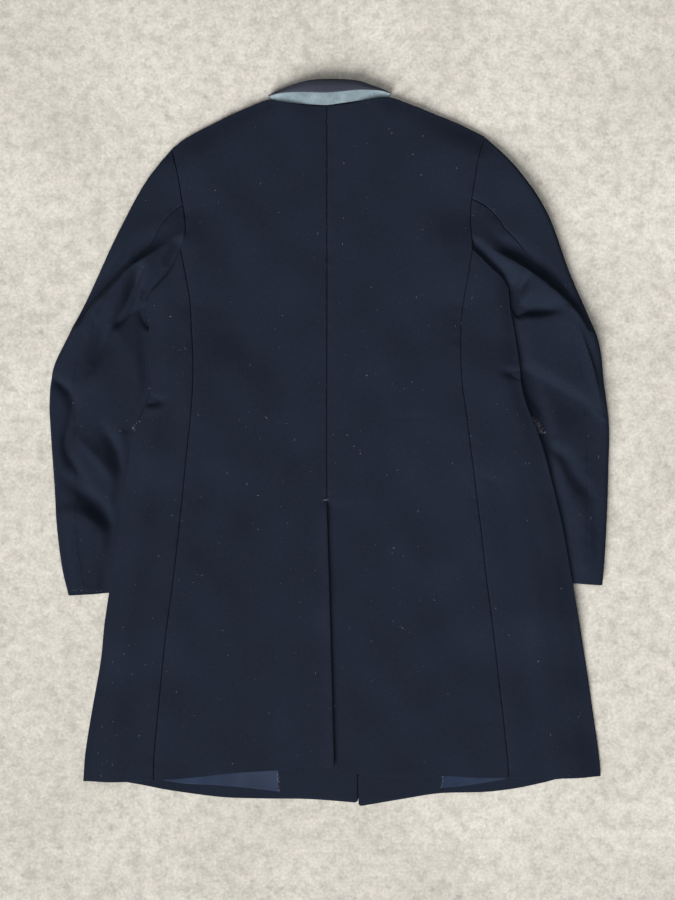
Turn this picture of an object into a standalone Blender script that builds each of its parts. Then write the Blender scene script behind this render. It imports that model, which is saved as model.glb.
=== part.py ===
"""Long coat of navy wool melton, laid face down with its sleeves tucked under the body.

Built as the real coat is cut and sewn: two back panels with a centre vent, two side bodies that wrap
round the flattened body's edges, two fronts underneath, two-piece sleeves, a turned-over collar with a
felt undercollar, lapels, pocket flaps, and the facings and lining where they show past the back's hem.

Tables and fields are in millimetres and add_solid writes metres. X is across the coat, Y runs towards
the collar, Z is up. The origin is on the floor under the middle of the coat's box.
"""

from collections import namedtuple
import math

import bpy
import numpy as np

MM = 0.001

SIDES = ("left", "right")

# Cloth
WALL = 2.4  # melton with its lining, in the body
SLEEVE_WALL = 2.8  # melton, lining and wadding in the sleeves
FACING_WALL = 1.5
LINING_WALL = 1.0
FELT_WALL = 1.6
TRIM_WALL = 2.0  # flaps and lapels
SEAM_GAP = 0.3  # between two pieces that are sewn together
LAY_GAP = 1.0  # between two layers that lie on each other

# Heights of the layers over the floor
BODY_DEPTH = 8.0  # front and back walls with the air between them
SHOULDER_DEPTH = 5.7  # the same where the shoulder seam closes it
SHOULDER_RISE = 25.0  # distance over which the depth opens from the shoulder seam
PAD_HEIGHT = 5.0  # soft shoulder pads
PAD_RADIUS = 75.0
PAD_CENTRES = ((-176, 384), (174, 396))
SLEEVE_HIDDEN = 8.2  # a sleeve's height where the body lies on it
SLEEVE_SHOWN = 10.6  # and where it lies free
SLEEVE_LIFT = SLEEVE_HIDDEN + LAY_GAP
LIFT_MARGIN = 8.0  # distance round a sleeve in which what lies on it stays raised
LIFT_RAMP_BELOW = 45.0  # distance in which the fronts come down from a sleeve to the floor
LIFT_RAMP_ABOVE = 95.0  # and in which the back does
CLEAR_MARGIN = 12.0  # distance from the body's edge in which a sleeve stays low
CLEAR_RAMP = 24.0  # and in which it then rises to its free height
ARMHOLE_FADE = 60.0  # distance up the armhole in which the body comes down beside the sleeve
FLAP_LIFT = TRIM_WALL + 2 * LAY_GAP  # how far the front is raised over a flap
LAPEL_LIFT = TRIM_WALL + SEAM_GAP + 0.1  # and over a lapel or a collar end, which are sewn to it
TRIM_MARGIN = 24.0  # distance round a flap or lapel in which the front stays raised
TRIM_RAMP = 42.0
CUFF_MARGIN = 30.0  # the same below a cuff

# Vent in the centre-back seam
VENT_TOP = -75.0
VENT_UNDERLAP = 34.0
VENT_LIFT = WALL + 2 * SEAM_GAP
VENT_RAMP = 45.0  # distance across in which the left back comes down beside the underlap
VENT_MARGIN = 6.0
VENT_RISE = 60.0  # distance down in which it rises, above the vent's top
VENT_RISE_START = 75.0

# Panels near the hem
LINING_TOP = -400.0
LINING_SIDE = 240.0

SECTION_MARGIN = 8.0  # a section nearer than this to the end of a line is left out of it
Section = namedtuple("Section", "y edge_left seam_left front_left front_right seam_right edge_right")
BODY = [
    Section(264, -250, -201, -203, 196, 194, 246),
    Section(204, -244, -190, -197, 198, 184, 243),
    Section(184, -250, -188, -196, 199, 181, 245),
    Section(163, -245, -187, -196, 200, 179, 249),
    Section(115, -245, -184, -195, 204, 178, 257),
    Section(79, -241, -184, -197, 208, 180, 260),
    Section(50, -249, -186, -201, 213, 184, 268),
    Section(18, -264, -189, -207, 221, 188, 281),
    Section(-29, -273, -194, -216, 232, 194, 296),
    Section(-105, -286, -202, -230, 250, 204, 315),
    Section(-176, -295, -210, -241, 263, 212, 328),
    Section(-236, -304, -218, -249, 274, 220, 338),
    Section(-297, -312, -226, -257, 285, 228, 349),
    Section(-358, -323, -232, -265, 295, 235, 358),
    Section(-420, -333, -238, -272, 303, 242, 367),
    Section(-460, -336, -239, -276, 308, 245, 370),
]

Ring = namedtuple("Ring", "outer_x outer_y inner_x inner_y hind fore")
SLEEVE_LEFT = [
    Ring(-215, 402, -244, 204, 0.34, 0.62),
    Ring(-250, 356, -250, 201, 0.45, 0.64),
    Ring(-283, 295, -253, 194, 0.54, 0.68),
    Ring(-322, 213, -251, 183, 0.31, 0.73),
    Ring(-351, 152, -236, 154, 0.21, 0.79),
    Ring(-375, 103, -209, 98, 0.19, 0.83),
    Ring(-381, 57, -209, 48, 0.19, 0.85),
    Ring(-379, 9, -213, -4, 0.19, 0.85),
    Ring(-375, -52, -216, -57, 0.19, 0.85),
    Ring(-371, -113, -217, -109, 0.19, 0.85),
    Ring(-364, -168, -218, -161, 0.19, 0.85),
    Ring(-355, -206, -219, -198, 0.19, 0.85),
]
SLEEVE_RIGHT = [
    Ring(212, 418, 243, 211, 0.34, 0.62),
    Ring(253, 377, 248.5, 207, 0.45, 0.64),
    Ring(295, 316, 251, 200, 0.54, 0.68),
    Ring(326, 234, 249, 190, 0.31, 0.73),
    Ring(355, 166, 238, 163, 0.21, 0.79),
    Ring(368, 125, 209, 107, 0.19, 0.83),
    Ring(373, 77, 211, 57, 0.19, 0.85),
    Ring(380, 23, 215, 6, 0.19, 0.85),
    Ring(379, -38, 219, -47, 0.19, 0.85),
    Ring(377, -100, 223, -100, 0.19, 0.85),
    Ring(374, -154, 228, -147, 0.19, 0.85),
    Ring(371, -192, 232, -184, 0.19, 0.85),
]

# Plan curves, each a few points along it
NECK_LEFT = [(-3, 459), (-28, 460), (-45, 462), (-68, 465), (-83, 468)]
NECK_RIGHT = [(-3, 459), (12, 462), (30, 464), (52, 468), (69, 471), (84, 471)]
SHOULDER_LEFT = [(-83, 468), (-108, 459), (-146, 442), (-195, 417), (-215, 402)]
SHOULDER_RIGHT = [(84, 471), (107, 463), (140, 450), (171, 438), (194, 427), (212, 418)]
ARMHOLE_LEFT = [(-215, 402), (-206, 367), (-201, 335), (-196, 306), (-195, 288), (-201, 264)]
ARMHOLE_RIGHT = [(212, 418), (203, 389), (198, 359), (193, 327), (192, 299), (194, 264)]
UNDERARM_LEFT = [(-201, 264), (-214, 235), (-227, 220), (-244, 204)]
UNDERARM_RIGHT = [(194, 264), (206, 252), (221, 237), (234, 226), (243, 211)]
FRONT_ARMHOLE_LEFT = [(-215, 402), (-195, 356), (-186, 316), (-187, 285), (-203, 254)]
FRONT_ARMHOLE_RIGHT = [(212, 418), (194, 373), (184, 332), (183, 294), (196, 261)]
UNDERARM_FRONT_LEFT = [(-244, 204), (-222, 228), (-203, 254)]
UNDERARM_FRONT_RIGHT = [(243, 211), (219, 236), (196, 261)]
CENTRE_BACK = [(-3, 459), (-3, 193), (-3, -75), (1, -215), (7, -440)]
BACK_HEM_LEFT = [(7, -440), (-40, -439), (-70, -444), (-133, -448), (-193, -455), (-239, -458)]
BACK_HEM_RIGHT = [(7, -440), (37, -448), (74, -452), (153, -452), (191, -454), (245, -455)]
SIDE_HEM_LEFT = [(-239, -458), (-280, -460), (-336, -460)]
SIDE_HEM_RIGHT = [(245, -455), (278, -456), (319, -455), (370, -453)]
FRONT_EDGE_LEFT = [(-83, 468), (-73, 457), (-52, 397), (24, 168), (30, 138), (31, 90), (33, -215), (37, -490)]
FRONT_EDGE_RIGHT = [(84, 471), (74, 461), (58, 400), (40, 168), (36, 138), (36, 90), (37, -215), (41, -495)]
FRONT_HEM_LEFT = [(-276, -462), (-253, -466), (-223, -472), (-149, -482), (-95, -484), (-27, -485), (37, -490)]
FRONT_HEM_RIGHT = [(308, -458), (293, -462), (255, -470), (214, -475), (150, -477), (104, -484), (41, -495)]
SIDE_FRONT_HEM_LEFT = [(-336, -460), (-300, -461), (-276, -462)]
SIDE_FRONT_HEM_RIGHT = [(370, -453), (340, -455), (308, -458)]
LINING_HEM_LEFT = [(-240, -456), (-198, -463), (-155, -465), (-111, -469), (-69.6, -474)]
LINING_HEM_RIGHT = [(153.6, -469), (191, -465), (240, -457)]
FACING_INNER_LEFT = -69.3
FACING_INNER_RIGHT = 153.3
FACING_HEM_LEFT = [(-69.3, -482), (-27, -483), (34, -486)]
FACING_HEM_RIGHT = [(43, -491), (104, -482), (153.3, -475)]
FACING_EDGE_LEFT = 33.0
FACING_EDGE_RIGHT = 42.0

# Trim: four corners in plan, round the piece
FLAP_LEFT = [(-142, 68), (-236, 64), (-267, 19), (-135, 8)]
FLAP_RIGHT = [(155, 68), (258, 60), (292, 14), (157, 7)]
LAPEL_LEFT = [(-56, 393), (-138, 373), (-60, 250), (22, 150)]
LAPEL_RIGHT = [(62, 396), (140, 377), (96, 258), (42, 150)]
COLLAR_END_LEFT = [(-76.4, 466.4), (-85, 464.6), (-112, 402), (-55, 397.5)]
COLLAR_END_RIGHT = [(78, 471), (86, 467.6), (112, 404), (61, 400.5)]

Collar = namedtuple("Collar", "neck_x neck_y roll_x roll_y")
COLLAR = [
    Collar(-76, 466.6, -83, 473.5),
    Collar(-61, 464.0, -67, 480.5),
    Collar(-44, 461.8, -48, 487.0),
    Collar(-25, 459.8, -27, 492.0),
    Collar(-3, 459.2, -4, 493.6),
    Collar(16, 462.0, 18, 493.4),
    Collar(35, 464.8, 40, 491.7),
    Collar(52, 467.9, 57, 486.6),
    Collar(67, 470.6, 73, 481.5),
    Collar(78, 471.6, 84, 476.5),
]
COLLAR_END_LIFT = 0.35  # share of its height that the collar keeps at its ends
COLLAR_DEPTH = 34.0  # across the collar in plan at the nape, which the profiles below are drawn for
# Profiles across the collar at the nape: distance out from the neck seam and height over the floor
Profile = namedtuple("Profile", "out height")
TOP_COLLAR = [
    Profile(3, 2.4),
    Profile(16, 2.6),
    Profile(27, 5.0),
    Profile(32.8, 11.0),
    Profile(31.2, 17.5),
    Profile(25, 21.5),
    Profile(19.4, 22.6),
]
UNDER_COLLAR = [
    Profile(1.1, 7.2),
    Profile(12, 7.8),
    Profile(22, 9.2),
    Profile(27.2, 11.6),
    Profile(27.4, 15.2),
    Profile(24, 18.0),
    Profile(19.6, 18.8),
]

Fold = namedtuple("Fold", "x0 y0 x1 y1 x2 y2 width height")
SLEEVE_FOLDS = [
    Fold(-216, 270, -258, 247, -336, 168, 11, 6.5),
    Fold(-238, 270, -285, 238, -332, 196, 10, -3.2),
    Fold(-268, 226, -280, 190, -317, 109, 13, -3.0),
    Fold(-372, 84, -347, 43, -338, -40, 12, -2.6),
    Fold(-306, 14, -292, -14, -282, -44, 9, -2.4),
    Fold(-362, -50, -322, -84, -291, -117, 11, -2.6),
    Fold(-332, -3, -315, -22, -297, -42, 9, 2.0),
    Fold(214, 270, 266, 240, 360, 152, 11, 6.5),
    Fold(214, 292, 259, 262, 316, 214, 10, -3.4),
    Fold(272, 222, 262, 190, 266, 160, 12, -3.0),
    Fold(262, 168, 286, 164, 314, 182, 10, -3.0),
    Fold(268, 103, 308, 76, 364, 42, 12, -3.0),
    Fold(290, 42, 314, -4, 349, -45, 11, -2.6),
]
BODY_FOLDS = [
    Fold(-246, 60, -236, 59, -226, 58, 7, -2.4),
    Fold(259, 92, 248, 91, 236, 90, 7, -2.4),
    Fold(-232, 20, -262, -200, -290, -440, 26, 1.8),
    Fold(240, 20, 276, -200, 306, -440, 26, 1.8),
    Fold(-120, 120, -135, -150, -150, -420, 34, 1.5),
    Fold(110, 100, 128, -150, 140, -420, 34, 1.5),
]

# Mesh resolution
OUTLINE_POINTS = 40
FOLD_POINTS = 13
ARC_STEPS = 5
COLLAR_POINTS = 10
COLLAR_PLACES = 17
BAND_COLUMNS = 9
BAND_ROWS = 5
ARMHOLE_ROWS = 6
BODY_ROWS = 16
SLEEVE_ROWS = 20
HIND_POINT = 3  # which of the armhole's points the hind-arm seam meets
FORE_POINT = 4  # and the forearm seam
BOW_FADE = 10  # how fast the armhole's curve straightens down the sleeve
ARMHOLE_BLEND = 0.16  # share of the sleeve's length in which it leaves the body's height
FOLD_END = 0.12  # share of its length in which a fold fades out
SLIDE_REACH = 3  # radii beyond a half round in which the points beside it are drawn back
SHARE_BACK = (0, 0.07, 0.16, 0.3, 0.46, 0.62, 0.76, 0.88, 1)
SHARE_OVER = (0, 0.3, 0.58, 0.8, 0.93, 1)
SHARE_UNDER = (0, 0.12, 0.34, 0.6, 0.82, 1)
SHARE_FRONT = (0, 0.04, 0.09, 0.15, 0.22, 0.32, 0.45, 0.62, 0.8, 0.9, 1)

Cloth = namedtuple("Cloth", "colour roughness")
MELTON = Cloth((0.014, 0.017, 0.028), 0.9)
COLLAR_CLOTH = Cloth((0.030, 0.028, 0.036), 0.85)
FELT = Cloth((0.29, 0.36, 0.40), 0.95)
SATIN = Cloth((0.022, 0.034, 0.062), 0.35)


def smooth(share):
    """Eases from 0 at 0 to 1 at 1."""
    share = np.clip(share, 0.0, 1.0)
    return share * share * (3.0 - 2.0 * share)


class Curve:
    """A smooth plan curve through a few points, read at shares from 0 to 1.

    The shares are of its length, or of its table's rows where it is even.
    """

    def __init__(self, points, even=False):
        points = np.array(points, float)
        steps = np.ones(len(points) - 1) if even else np.linalg.norm(np.diff(points, axis=0), axis=1)
        knots = np.concatenate([[0.0], np.cumsum(steps)])
        slopes = np.empty_like(points)
        slopes[0] = (points[1] - points[0]) / steps[0]
        slopes[-1] = (points[-1] - points[-2]) / steps[-1]
        slopes[1:-1] = (points[2:] - points[:-2]) / (knots[2:] - knots[:-2])[:, None]
        self.points = points
        self.knots = knots
        self.slopes = slopes

    def at(self, share):
        place = np.atleast_1d(share) * self.knots[-1]
        span = np.clip(np.searchsorted(self.knots, place, side="right") - 1, 0, len(self.points) - 2)
        length = (self.knots[span + 1] - self.knots[span])[:, None]
        part = (place - self.knots[span])[:, None] / length
        start, end = self.points[span], self.points[span + 1]
        start_slope, end_slope = self.slopes[span] * length, self.slopes[span + 1] * length
        cubic = part**3
        square = part**2
        return (
            (2 * cubic - 3 * square + 1) * start
            + (cubic - 2 * square + part) * start_slope
            + (3 * square - 2 * cubic) * end
            + (cubic - square) * end_slope
        )


def column(rows, *names):
    """One or more columns of a table, as points."""
    return [tuple(getattr(row, name) for name in names) for row in rows]


def body_curve(name, top, bottom):
    """A line down the body from one plan point to another, through the table's sections between them."""
    lowest, highest = bottom[1] + SECTION_MARGIN, top[1] - SECTION_MARGIN
    between = [(x, y) for x, y in column(BODY, name, "y") if lowest < y < highest]
    return Curve([top, *between, bottom])


def distance_to_line(points, line):
    """How far each plan point is from an open line."""
    best = np.full(len(points), np.inf)
    for start, end in zip(line[:-1], line[1:]):
        along = end - start
        share = np.clip(((points - start) @ along) / max(along @ along, 1e-9), 0, 1)
        best = np.minimum(best, np.linalg.norm(points - start - share[:, None] * along, axis=1))
    return best


def distance_outside(points, outline):
    """How far each plan point is outside a closed outline, 0 inside it."""
    closed = np.vstack([outline, outline[:1]])
    inside = np.zeros(len(points), bool)
    for (x0, y0), (x1, y1) in zip(closed[:-1], closed[1:]):
        crosses = (y0 > points[:, 1]) != (y1 > points[:, 1])
        reach = x0 + (points[:, 1] - y0) * (x1 - x0) / (y1 - y0 if y1 != y0 else 1e-9)
        inside ^= crosses & (points[:, 0] < reach)
    return np.where(inside, 0.0, distance_to_line(points, closed))


def fold_heights(points, folds):
    """The rise of soft ridges and the fall of soft troughs, fading out at their ends."""
    total = np.zeros(len(points))
    for fold in folds:
        places = np.linspace(0, 1, FOLD_POINTS)
        line = Curve([(fold.x0, fold.y0), (fold.x1, fold.y1), (fold.x2, fold.y2)]).at(places)
        strength = np.sin((FOLD_END + (1 - 2 * FOLD_END) * places) * math.pi)
        best = np.full(len(points), np.inf)
        level = np.zeros(len(points))
        for index, start in enumerate(line[:-1]):
            along = line[index + 1] - start
            share = np.clip(((points - start) @ along) / (along @ along), 0, 1)
            away = np.linalg.norm(points - start - share[:, None] * along, axis=1)
            nearer = away < best
            best = np.where(nearer, away, best)
            level = np.where(nearer, strength[index] * (1 - share) + strength[index + 1] * share, level)
        total += fold.height * level * np.exp(-((best / fold.width) ** 2))
    return total


class Plan:
    """The coat's lines in plan, and the heights of its layers over the floor."""

    def __init__(self):
        self.seam = {
            "left": body_curve("seam_left", UNDERARM_LEFT[0], SIDE_HEM_LEFT[0]),
            "right": body_curve("seam_right", UNDERARM_RIGHT[0], SIDE_HEM_RIGHT[0]),
        }
        self.edge = {
            "left": body_curve("edge_left", UNDERARM_LEFT[-1], SIDE_HEM_LEFT[-1]),
            "right": body_curve("edge_right", UNDERARM_RIGHT[-1], SIDE_HEM_RIGHT[-1]),
        }
        self.front_seam = {
            "left": body_curve("front_left", FRONT_ARMHOLE_LEFT[-1], FRONT_HEM_LEFT[0]),
            "right": body_curve("front_right", FRONT_ARMHOLE_RIGHT[-1], FRONT_HEM_RIGHT[0]),
        }
        self.sleeve = {"left": SLEEVE_LEFT, "right": SLEEVE_RIGHT}
        rings = self.sleeve.items()
        self.outer = {side: Curve(column(table, "outer_x", "outer_y"), True) for side, table in rings}
        self.inner = {side: Curve(column(table, "inner_x", "inner_y"), True) for side, table in rings}
        steps = np.linspace(0, 1, OUTLINE_POINTS)
        below = np.array([0, -CUFF_MARGIN])
        self.sleeve_outline = {
            side: np.vstack([
                self.outer[side].at(steps),
                self.outer[side].at(1) + below,
                self.inner[side].at(1) + below,
                self.inner[side].at(steps[3:])[::-1],
                armhole[-1],
            ])
            for side, armhole in (("left", FRONT_ARMHOLE_LEFT), ("right", FRONT_ARMHOLE_RIGHT))
        }
        self.body_outline = np.vstack([
            UNDERARM_LEFT,
            self.edge["left"].at(steps),
            self.edge["right"].at(steps)[::-1],
            UNDERARM_RIGHT[::-1],
        ])
        self.flaps = [np.array(corners, float) for corners in (FLAP_LEFT, FLAP_RIGHT)]
        self.lapels = [
            np.array(corners, float)
            for corners in (LAPEL_LEFT, LAPEL_RIGHT, COLLAR_END_LEFT, COLLAR_END_RIGHT)
        ]
        self.shoulders = [Curve(line).at(steps) for line in (SHOULDER_LEFT, SHOULDER_RIGHT)]
        self.centre = Curve(CENTRE_BACK)

    def sleeve_lift(self, points, ramp):
        """How far what lies on the tucked sleeves is raised by them."""
        away = np.minimum(*[distance_outside(points, outline) for outline in self.sleeve_outline.values()])
        beside_armhole = smooth((points[:, 1] - UNDERARM_LEFT[0][1]) / ARMHOLE_FADE)
        return SLEEVE_LIFT * smooth(1 - (away - LIFT_MARGIN) / ramp) * (1 - beside_armhole)

    def trim_bottom(self, points):
        """The underside of the flaps and lapels."""
        return self.sleeve_lift(points, LIFT_RAMP_BELOW)

    def trim_lift(self, points, ramp):
        """How far the fronts are raised by the flaps and the lapels."""
        lift = np.zeros(len(points))
        for outlines, height in ((self.flaps, FLAP_LIFT), (self.lapels, LAPEL_LIFT)):
            away = np.min([distance_outside(points, outline) for outline in outlines], axis=0)
            lift = np.maximum(lift, height * smooth(1 - (away - TRIM_MARGIN) / ramp))
        return lift

    def body_bottom(self, points):
        """The fronts' underside, raised over the sleeves, the flaps and the lapels."""
        return self.trim_bottom(points) + self.trim_lift(points, TRIM_RAMP)

    def body_depth(self, points):
        """From the fronts' underside to the back's upper face, over the floor."""
        away = np.min([distance_to_line(points, line) for line in self.shoulders], axis=0)
        depth = SHOULDER_DEPTH + (BODY_DEPTH - SHOULDER_DEPTH) * smooth(away / SHOULDER_RISE)
        for centre in PAD_CENTRES:
            distance = np.linalg.norm(points - centre, axis=1)
            depth += PAD_HEIGHT * smooth(1 - distance / PAD_RADIUS) * smooth(away / PAD_RADIUS * 2)
        return depth

    def body_top(self, points):
        """The back's upper face."""
        lift = self.sleeve_lift(points, LIFT_RAMP_ABOVE) + self.trim_lift(points, 1.5 * TRIM_RAMP)
        return lift + self.body_depth(points) + fold_heights(points, BODY_FOLDS)

    def vent_lift(self, points):
        """How far the left back is raised where it lies on the right back's underlap."""
        length = CENTRE_BACK[0][1] - CENTRE_BACK[-1][1]
        centre_x = self.centre.at(np.clip((CENTRE_BACK[0][1] - points[:, 1]) / length, 0, 1))[:, 0]
        underlap_x = centre_x - VENT_UNDERLAP - VENT_MARGIN
        across = smooth(1 - (underlap_x - points[:, 0]) / VENT_RAMP)
        return VENT_LIFT * across * smooth((VENT_TOP + VENT_RISE_START - points[:, 1]) / VENT_RISE)

    def left_back_top(self, points):
        return self.body_top(points) + self.vent_lift(points)

    def sleeve_top(self, points, from_armhole):
        """A sleeve's upper face: low under the body, free beside it, level with it at the armhole."""
        away = distance_outside(points, self.body_outline)
        for outline in self.flaps:
            away = np.minimum(away, distance_outside(points, outline))
        free = SLEEVE_SHOWN + fold_heights(points, SLEEVE_FOLDS)
        at_armhole = self.body_top(points)
        shown = free + (at_armhole - free) * smooth(1 - from_armhole)
        return SLEEVE_HIDDEN + (shown - SLEEVE_HIDDEN) * smooth((away - CLEAR_MARGIN) / CLEAR_RAMP)


def bowed_rows(left, right, top, bottom, across, down):
    """Plan rows between two side lines; the first row follows the top line, the last the bottom line."""
    across = np.asarray(across, float)
    bow_top = top - (top[0] + (top[-1] - top[0]) * across[:, None])
    bow_bottom = bottom - (bottom[0] + (bottom[-1] - bottom[0]) * across[:, None])
    rows = []
    for index, share in enumerate(down):
        straight = left[index] + (right[index] - left[index]) * across[:, None]
        fade = (1 - share) ** 2
        rows.append(straight + fade * bow_top + share**3 * bow_bottom)
    return np.array(rows)


def pull_in(rows, gaps):
    """Narrows plan rows by a gap at their first and last columns, and at the first and last row."""
    left, right, top, bottom = gaps
    rows = rows.copy()
    for grid, near, far in ((rows, left, right), (rows.transpose(1, 0, 2), top, bottom)):
        for first, second, gap in ((0, 1, near), (-1, -2, far)):
            along = grid[:, second] - grid[:, first]
            grid[:, first] += along / np.linalg.norm(along, axis=1, keepdims=True) * gap
    return rows


def heights(rows, field):
    """A field's heights over a grid of plan points."""
    return field(rows.reshape(-1, 2)).reshape(rows.shape[:2])


def lay(rows, z):
    """Plan rows and heights joined into a grid of points."""
    return np.dstack([rows, z])


def add_solid(name, upper, lower, cloth):
    """A closed wall between two grids of points, given in millimetres."""
    count_down, count_across = upper.shape[:2]
    size = count_down * count_across
    points = np.vstack([upper.reshape(-1, 3), lower.reshape(-1, 3)]) * MM
    index = np.arange(size).reshape(count_down, count_across)
    quads = np.stack([index[:-1, :-1], index[:-1, 1:], index[1:, 1:], index[1:, :-1]], axis=-1).reshape(-1, 4)
    border = np.concatenate([index[0, :-1], index[:-1, -1], index[-1, :0:-1], index[:0:-1, 0]])
    following = np.roll(border, -1)
    sides = np.stack([following, border, border + size, following + size], axis=-1)
    faces = np.vstack([quads, quads[:, ::-1] + size, sides])
    corners = points[faces]
    fan = np.cross(corners[:, 1] - corners[:, 0], corners[:, 2] - corners[:, 0])
    fan_volume = np.einsum("ij,ij->i", corners[:, 0], fan)
    second = np.cross(corners[:, 2] - corners[:, 0], corners[:, 3] - corners[:, 0])
    if (fan_volume + np.einsum("ij,ij->i", corners[:, 0], second)).sum() < 0:
        faces = faces[:, ::-1]
    mesh = bpy.data.meshes.new(name)
    mesh.from_pydata(points.tolist(), [], faces.tolist())
    mesh.shade_smooth()
    mesh.set_sharp_from_angle(angle=math.radians(40))
    mesh.materials.append(cloth_material(name, cloth))
    solid = bpy.data.objects.new(name, mesh)
    bpy.context.scene.collection.objects.link(solid)
    return solid


def cloth_material(name, cloth):
    material = bpy.data.materials.new(name)
    material.use_nodes = True
    shader = material.node_tree.nodes["Principled BSDF"]
    shader.inputs["Base Color"].default_value = (*cloth.colour, 1.0)
    shader.inputs["Roughness"].default_value = cloth.roughness
    shader.inputs["Metallic"].default_value = 0.0
    return material


def back_rows(side, plan):
    """Plan rows of a back panel, from the centre seam out to the armhole and the side seam."""
    neck, shoulder = (NECK_LEFT, SHOULDER_LEFT) if side == "left" else (NECK_RIGHT, SHOULDER_RIGHT)
    armhole = Curve(ARMHOLE_LEFT if side == "left" else ARMHOLE_RIGHT)
    hem = Curve(BACK_HEM_LEFT if side == "left" else BACK_HEM_RIGHT)
    top = Curve(neck + shoulder[1:])
    outer = np.vstack([
        armhole.at(np.linspace(0, 1, ARMHOLE_ROWS + 1))[:-1],
        plan.seam[side].at(np.linspace(0, 1, BODY_ROWS + 1)),
    ])
    share = row_shares(outer)
    centre = plan.centre.at(share)
    if side == "right":
        below = centre[:, 1] < VENT_TOP
        centre[below, 0] -= VENT_UNDERLAP
        hem_start = (centre[-1, 0], BACK_HEM_RIGHT[0][1])
        hem = Curve([hem_start, *BACK_HEM_RIGHT])
    return bowed_rows(centre, outer, top.at(SHARE_BACK), hem.at(SHARE_BACK), SHARE_BACK, share)


def row_shares(line):
    """How far down a side line each of its rows is, from 0 to 1."""
    steps = np.linalg.norm(np.diff(line, axis=0), axis=1)
    return np.concatenate([[0.0], np.cumsum(steps)]) / steps.sum()


def build_back(side, plan):
    rows = pull_in(back_rows(side, plan), (SEAM_GAP / 2, SEAM_GAP / 2, 0, 0))
    field = plan.left_back_top if side == "left" else plan.body_top
    top = heights(rows, field)
    add_solid(f"back_{side}", lay(rows, top), lay(rows, top - WALL), MELTON)


def front_rows(side, plan):
    """Plan rows of a front, from the armhole and the front seam in to the front edge."""
    left = side == "left"
    armhole = Curve(FRONT_ARMHOLE_LEFT if left else FRONT_ARMHOLE_RIGHT)
    shoulder = Curve((SHOULDER_LEFT if left else SHOULDER_RIGHT)[::-1])
    hem = Curve(FRONT_HEM_LEFT if left else FRONT_HEM_RIGHT)
    edge = Curve(FRONT_EDGE_LEFT if left else FRONT_EDGE_RIGHT)
    outer = np.vstack([
        armhole.at(np.linspace(0, 1, ARMHOLE_ROWS + 1))[:-1],
        plan.front_seam[side].at(np.linspace(0, 1, BODY_ROWS + 1)),
    ])
    share = row_shares(outer)
    return bowed_rows(outer, edge.at(share), shoulder.at(SHARE_FRONT), hem.at(SHARE_FRONT), SHARE_FRONT, share)


def build_front(side, plan):
    rows = pull_in(front_rows(side, plan), (SEAM_GAP / 2, 0, 0, 0))
    bottom = heights(rows, plan.body_bottom)
    add_solid(f"front_{side}", lay(rows, bottom + WALL), lay(rows, bottom), MELTON)


def wrapped(upper_rows, lower_rows, upper_z, lower_z, wall):
    """Points and inner points of rows that run over the top, round an edge and back underneath.

    The upper rows end at the edge and the lower rows start there; the edge is a half round between them.
    """
    outside = []
    inside = []
    for upper, lower, high, low in zip(upper_rows, lower_rows, upper_z, lower_z):
        radius = (high[-1] - low[0]) / 2
        middle = (high[-1] + low[0]) / 2
        edge = upper[-1]
        outward = edge - upper[-2]
        outward /= np.linalg.norm(outward)
        centre = edge - outward * radius
        flat_top = slide_clear(upper, centre, outward, radius)
        flat_bottom = slide_clear(lower, centre, outward, radius)
        out_row = [(*point, z) for point, z in zip(flat_top, high)]
        in_row = [(*point, z - wall) for point, z in zip(flat_top, high)]
        for step in range(1, ARC_STEPS):
            angle = math.pi * step / ARC_STEPS
            for row, reach in ((out_row, radius), (in_row, radius - wall)):
                place = centre + outward * reach * math.sin(angle)
                row.append((*place, middle + reach * math.cos(angle)))
        out_row += [(*point, z) for point, z in zip(flat_bottom, low)]
        in_row += [(*point, z + wall) for point, z in zip(flat_bottom, low)]
        outside.append(out_row)
        inside.append(in_row)
    return np.array(outside), np.array(inside)


def slide_clear(row, centre, outward, radius):
    """A row whose last points are drawn back so that it ends at the half round's centre."""
    past = (row - centre) @ outward
    drawn = smooth((past + SLIDE_REACH * radius) / ((SLIDE_REACH + 1) * radius))
    return row - outward * (radius * drawn)[:, None]


def side_rows(side, plan):
    """Plan rows of a side body: from the back seam to the edge, and underneath to the front seam."""
    left = side == "left"
    down = np.linspace(0, 1, BODY_ROWS + 1)
    seam = plan.seam[side].at(down)
    edge = plan.edge[side].at(down)
    front = plan.front_seam[side].at(down)
    underarm = Curve(UNDERARM_LEFT if left else UNDERARM_RIGHT).at(SHARE_OVER)
    underarm_front = Curve(UNDERARM_FRONT_LEFT if left else UNDERARM_FRONT_RIGHT).at(SHARE_UNDER)
    hem = Curve(SIDE_HEM_LEFT if left else SIDE_HEM_RIGHT).at(SHARE_OVER)
    front_hem = Curve(SIDE_FRONT_HEM_LEFT if left else SIDE_FRONT_HEM_RIGHT).at(SHARE_UNDER)
    upper = bowed_rows(seam, edge, underarm, hem, SHARE_OVER, down)
    lower = bowed_rows(edge, front, underarm_front, front_hem, SHARE_UNDER, down)
    return pull_in(upper, (SEAM_GAP / 2, 0, 0, 0)), pull_in(lower, (0, SEAM_GAP / 2, 0, 0))


def build_side(side, plan):
    upper, lower = side_rows(side, plan)
    outside, inside = wrapped(
        upper, lower, heights(upper, plan.body_top), heights(lower, plan.body_bottom), WALL
    )
    add_solid(f"side_{side}", outside, inside, MELTON)


def halved(line):
    """A line with a point added in the middle of each step."""
    middles = (line[:-1] + line[1:]) / 2
    return np.vstack([np.stack([line[:-1], middles], axis=1).reshape(-1, 2), line[-1:]])


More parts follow.
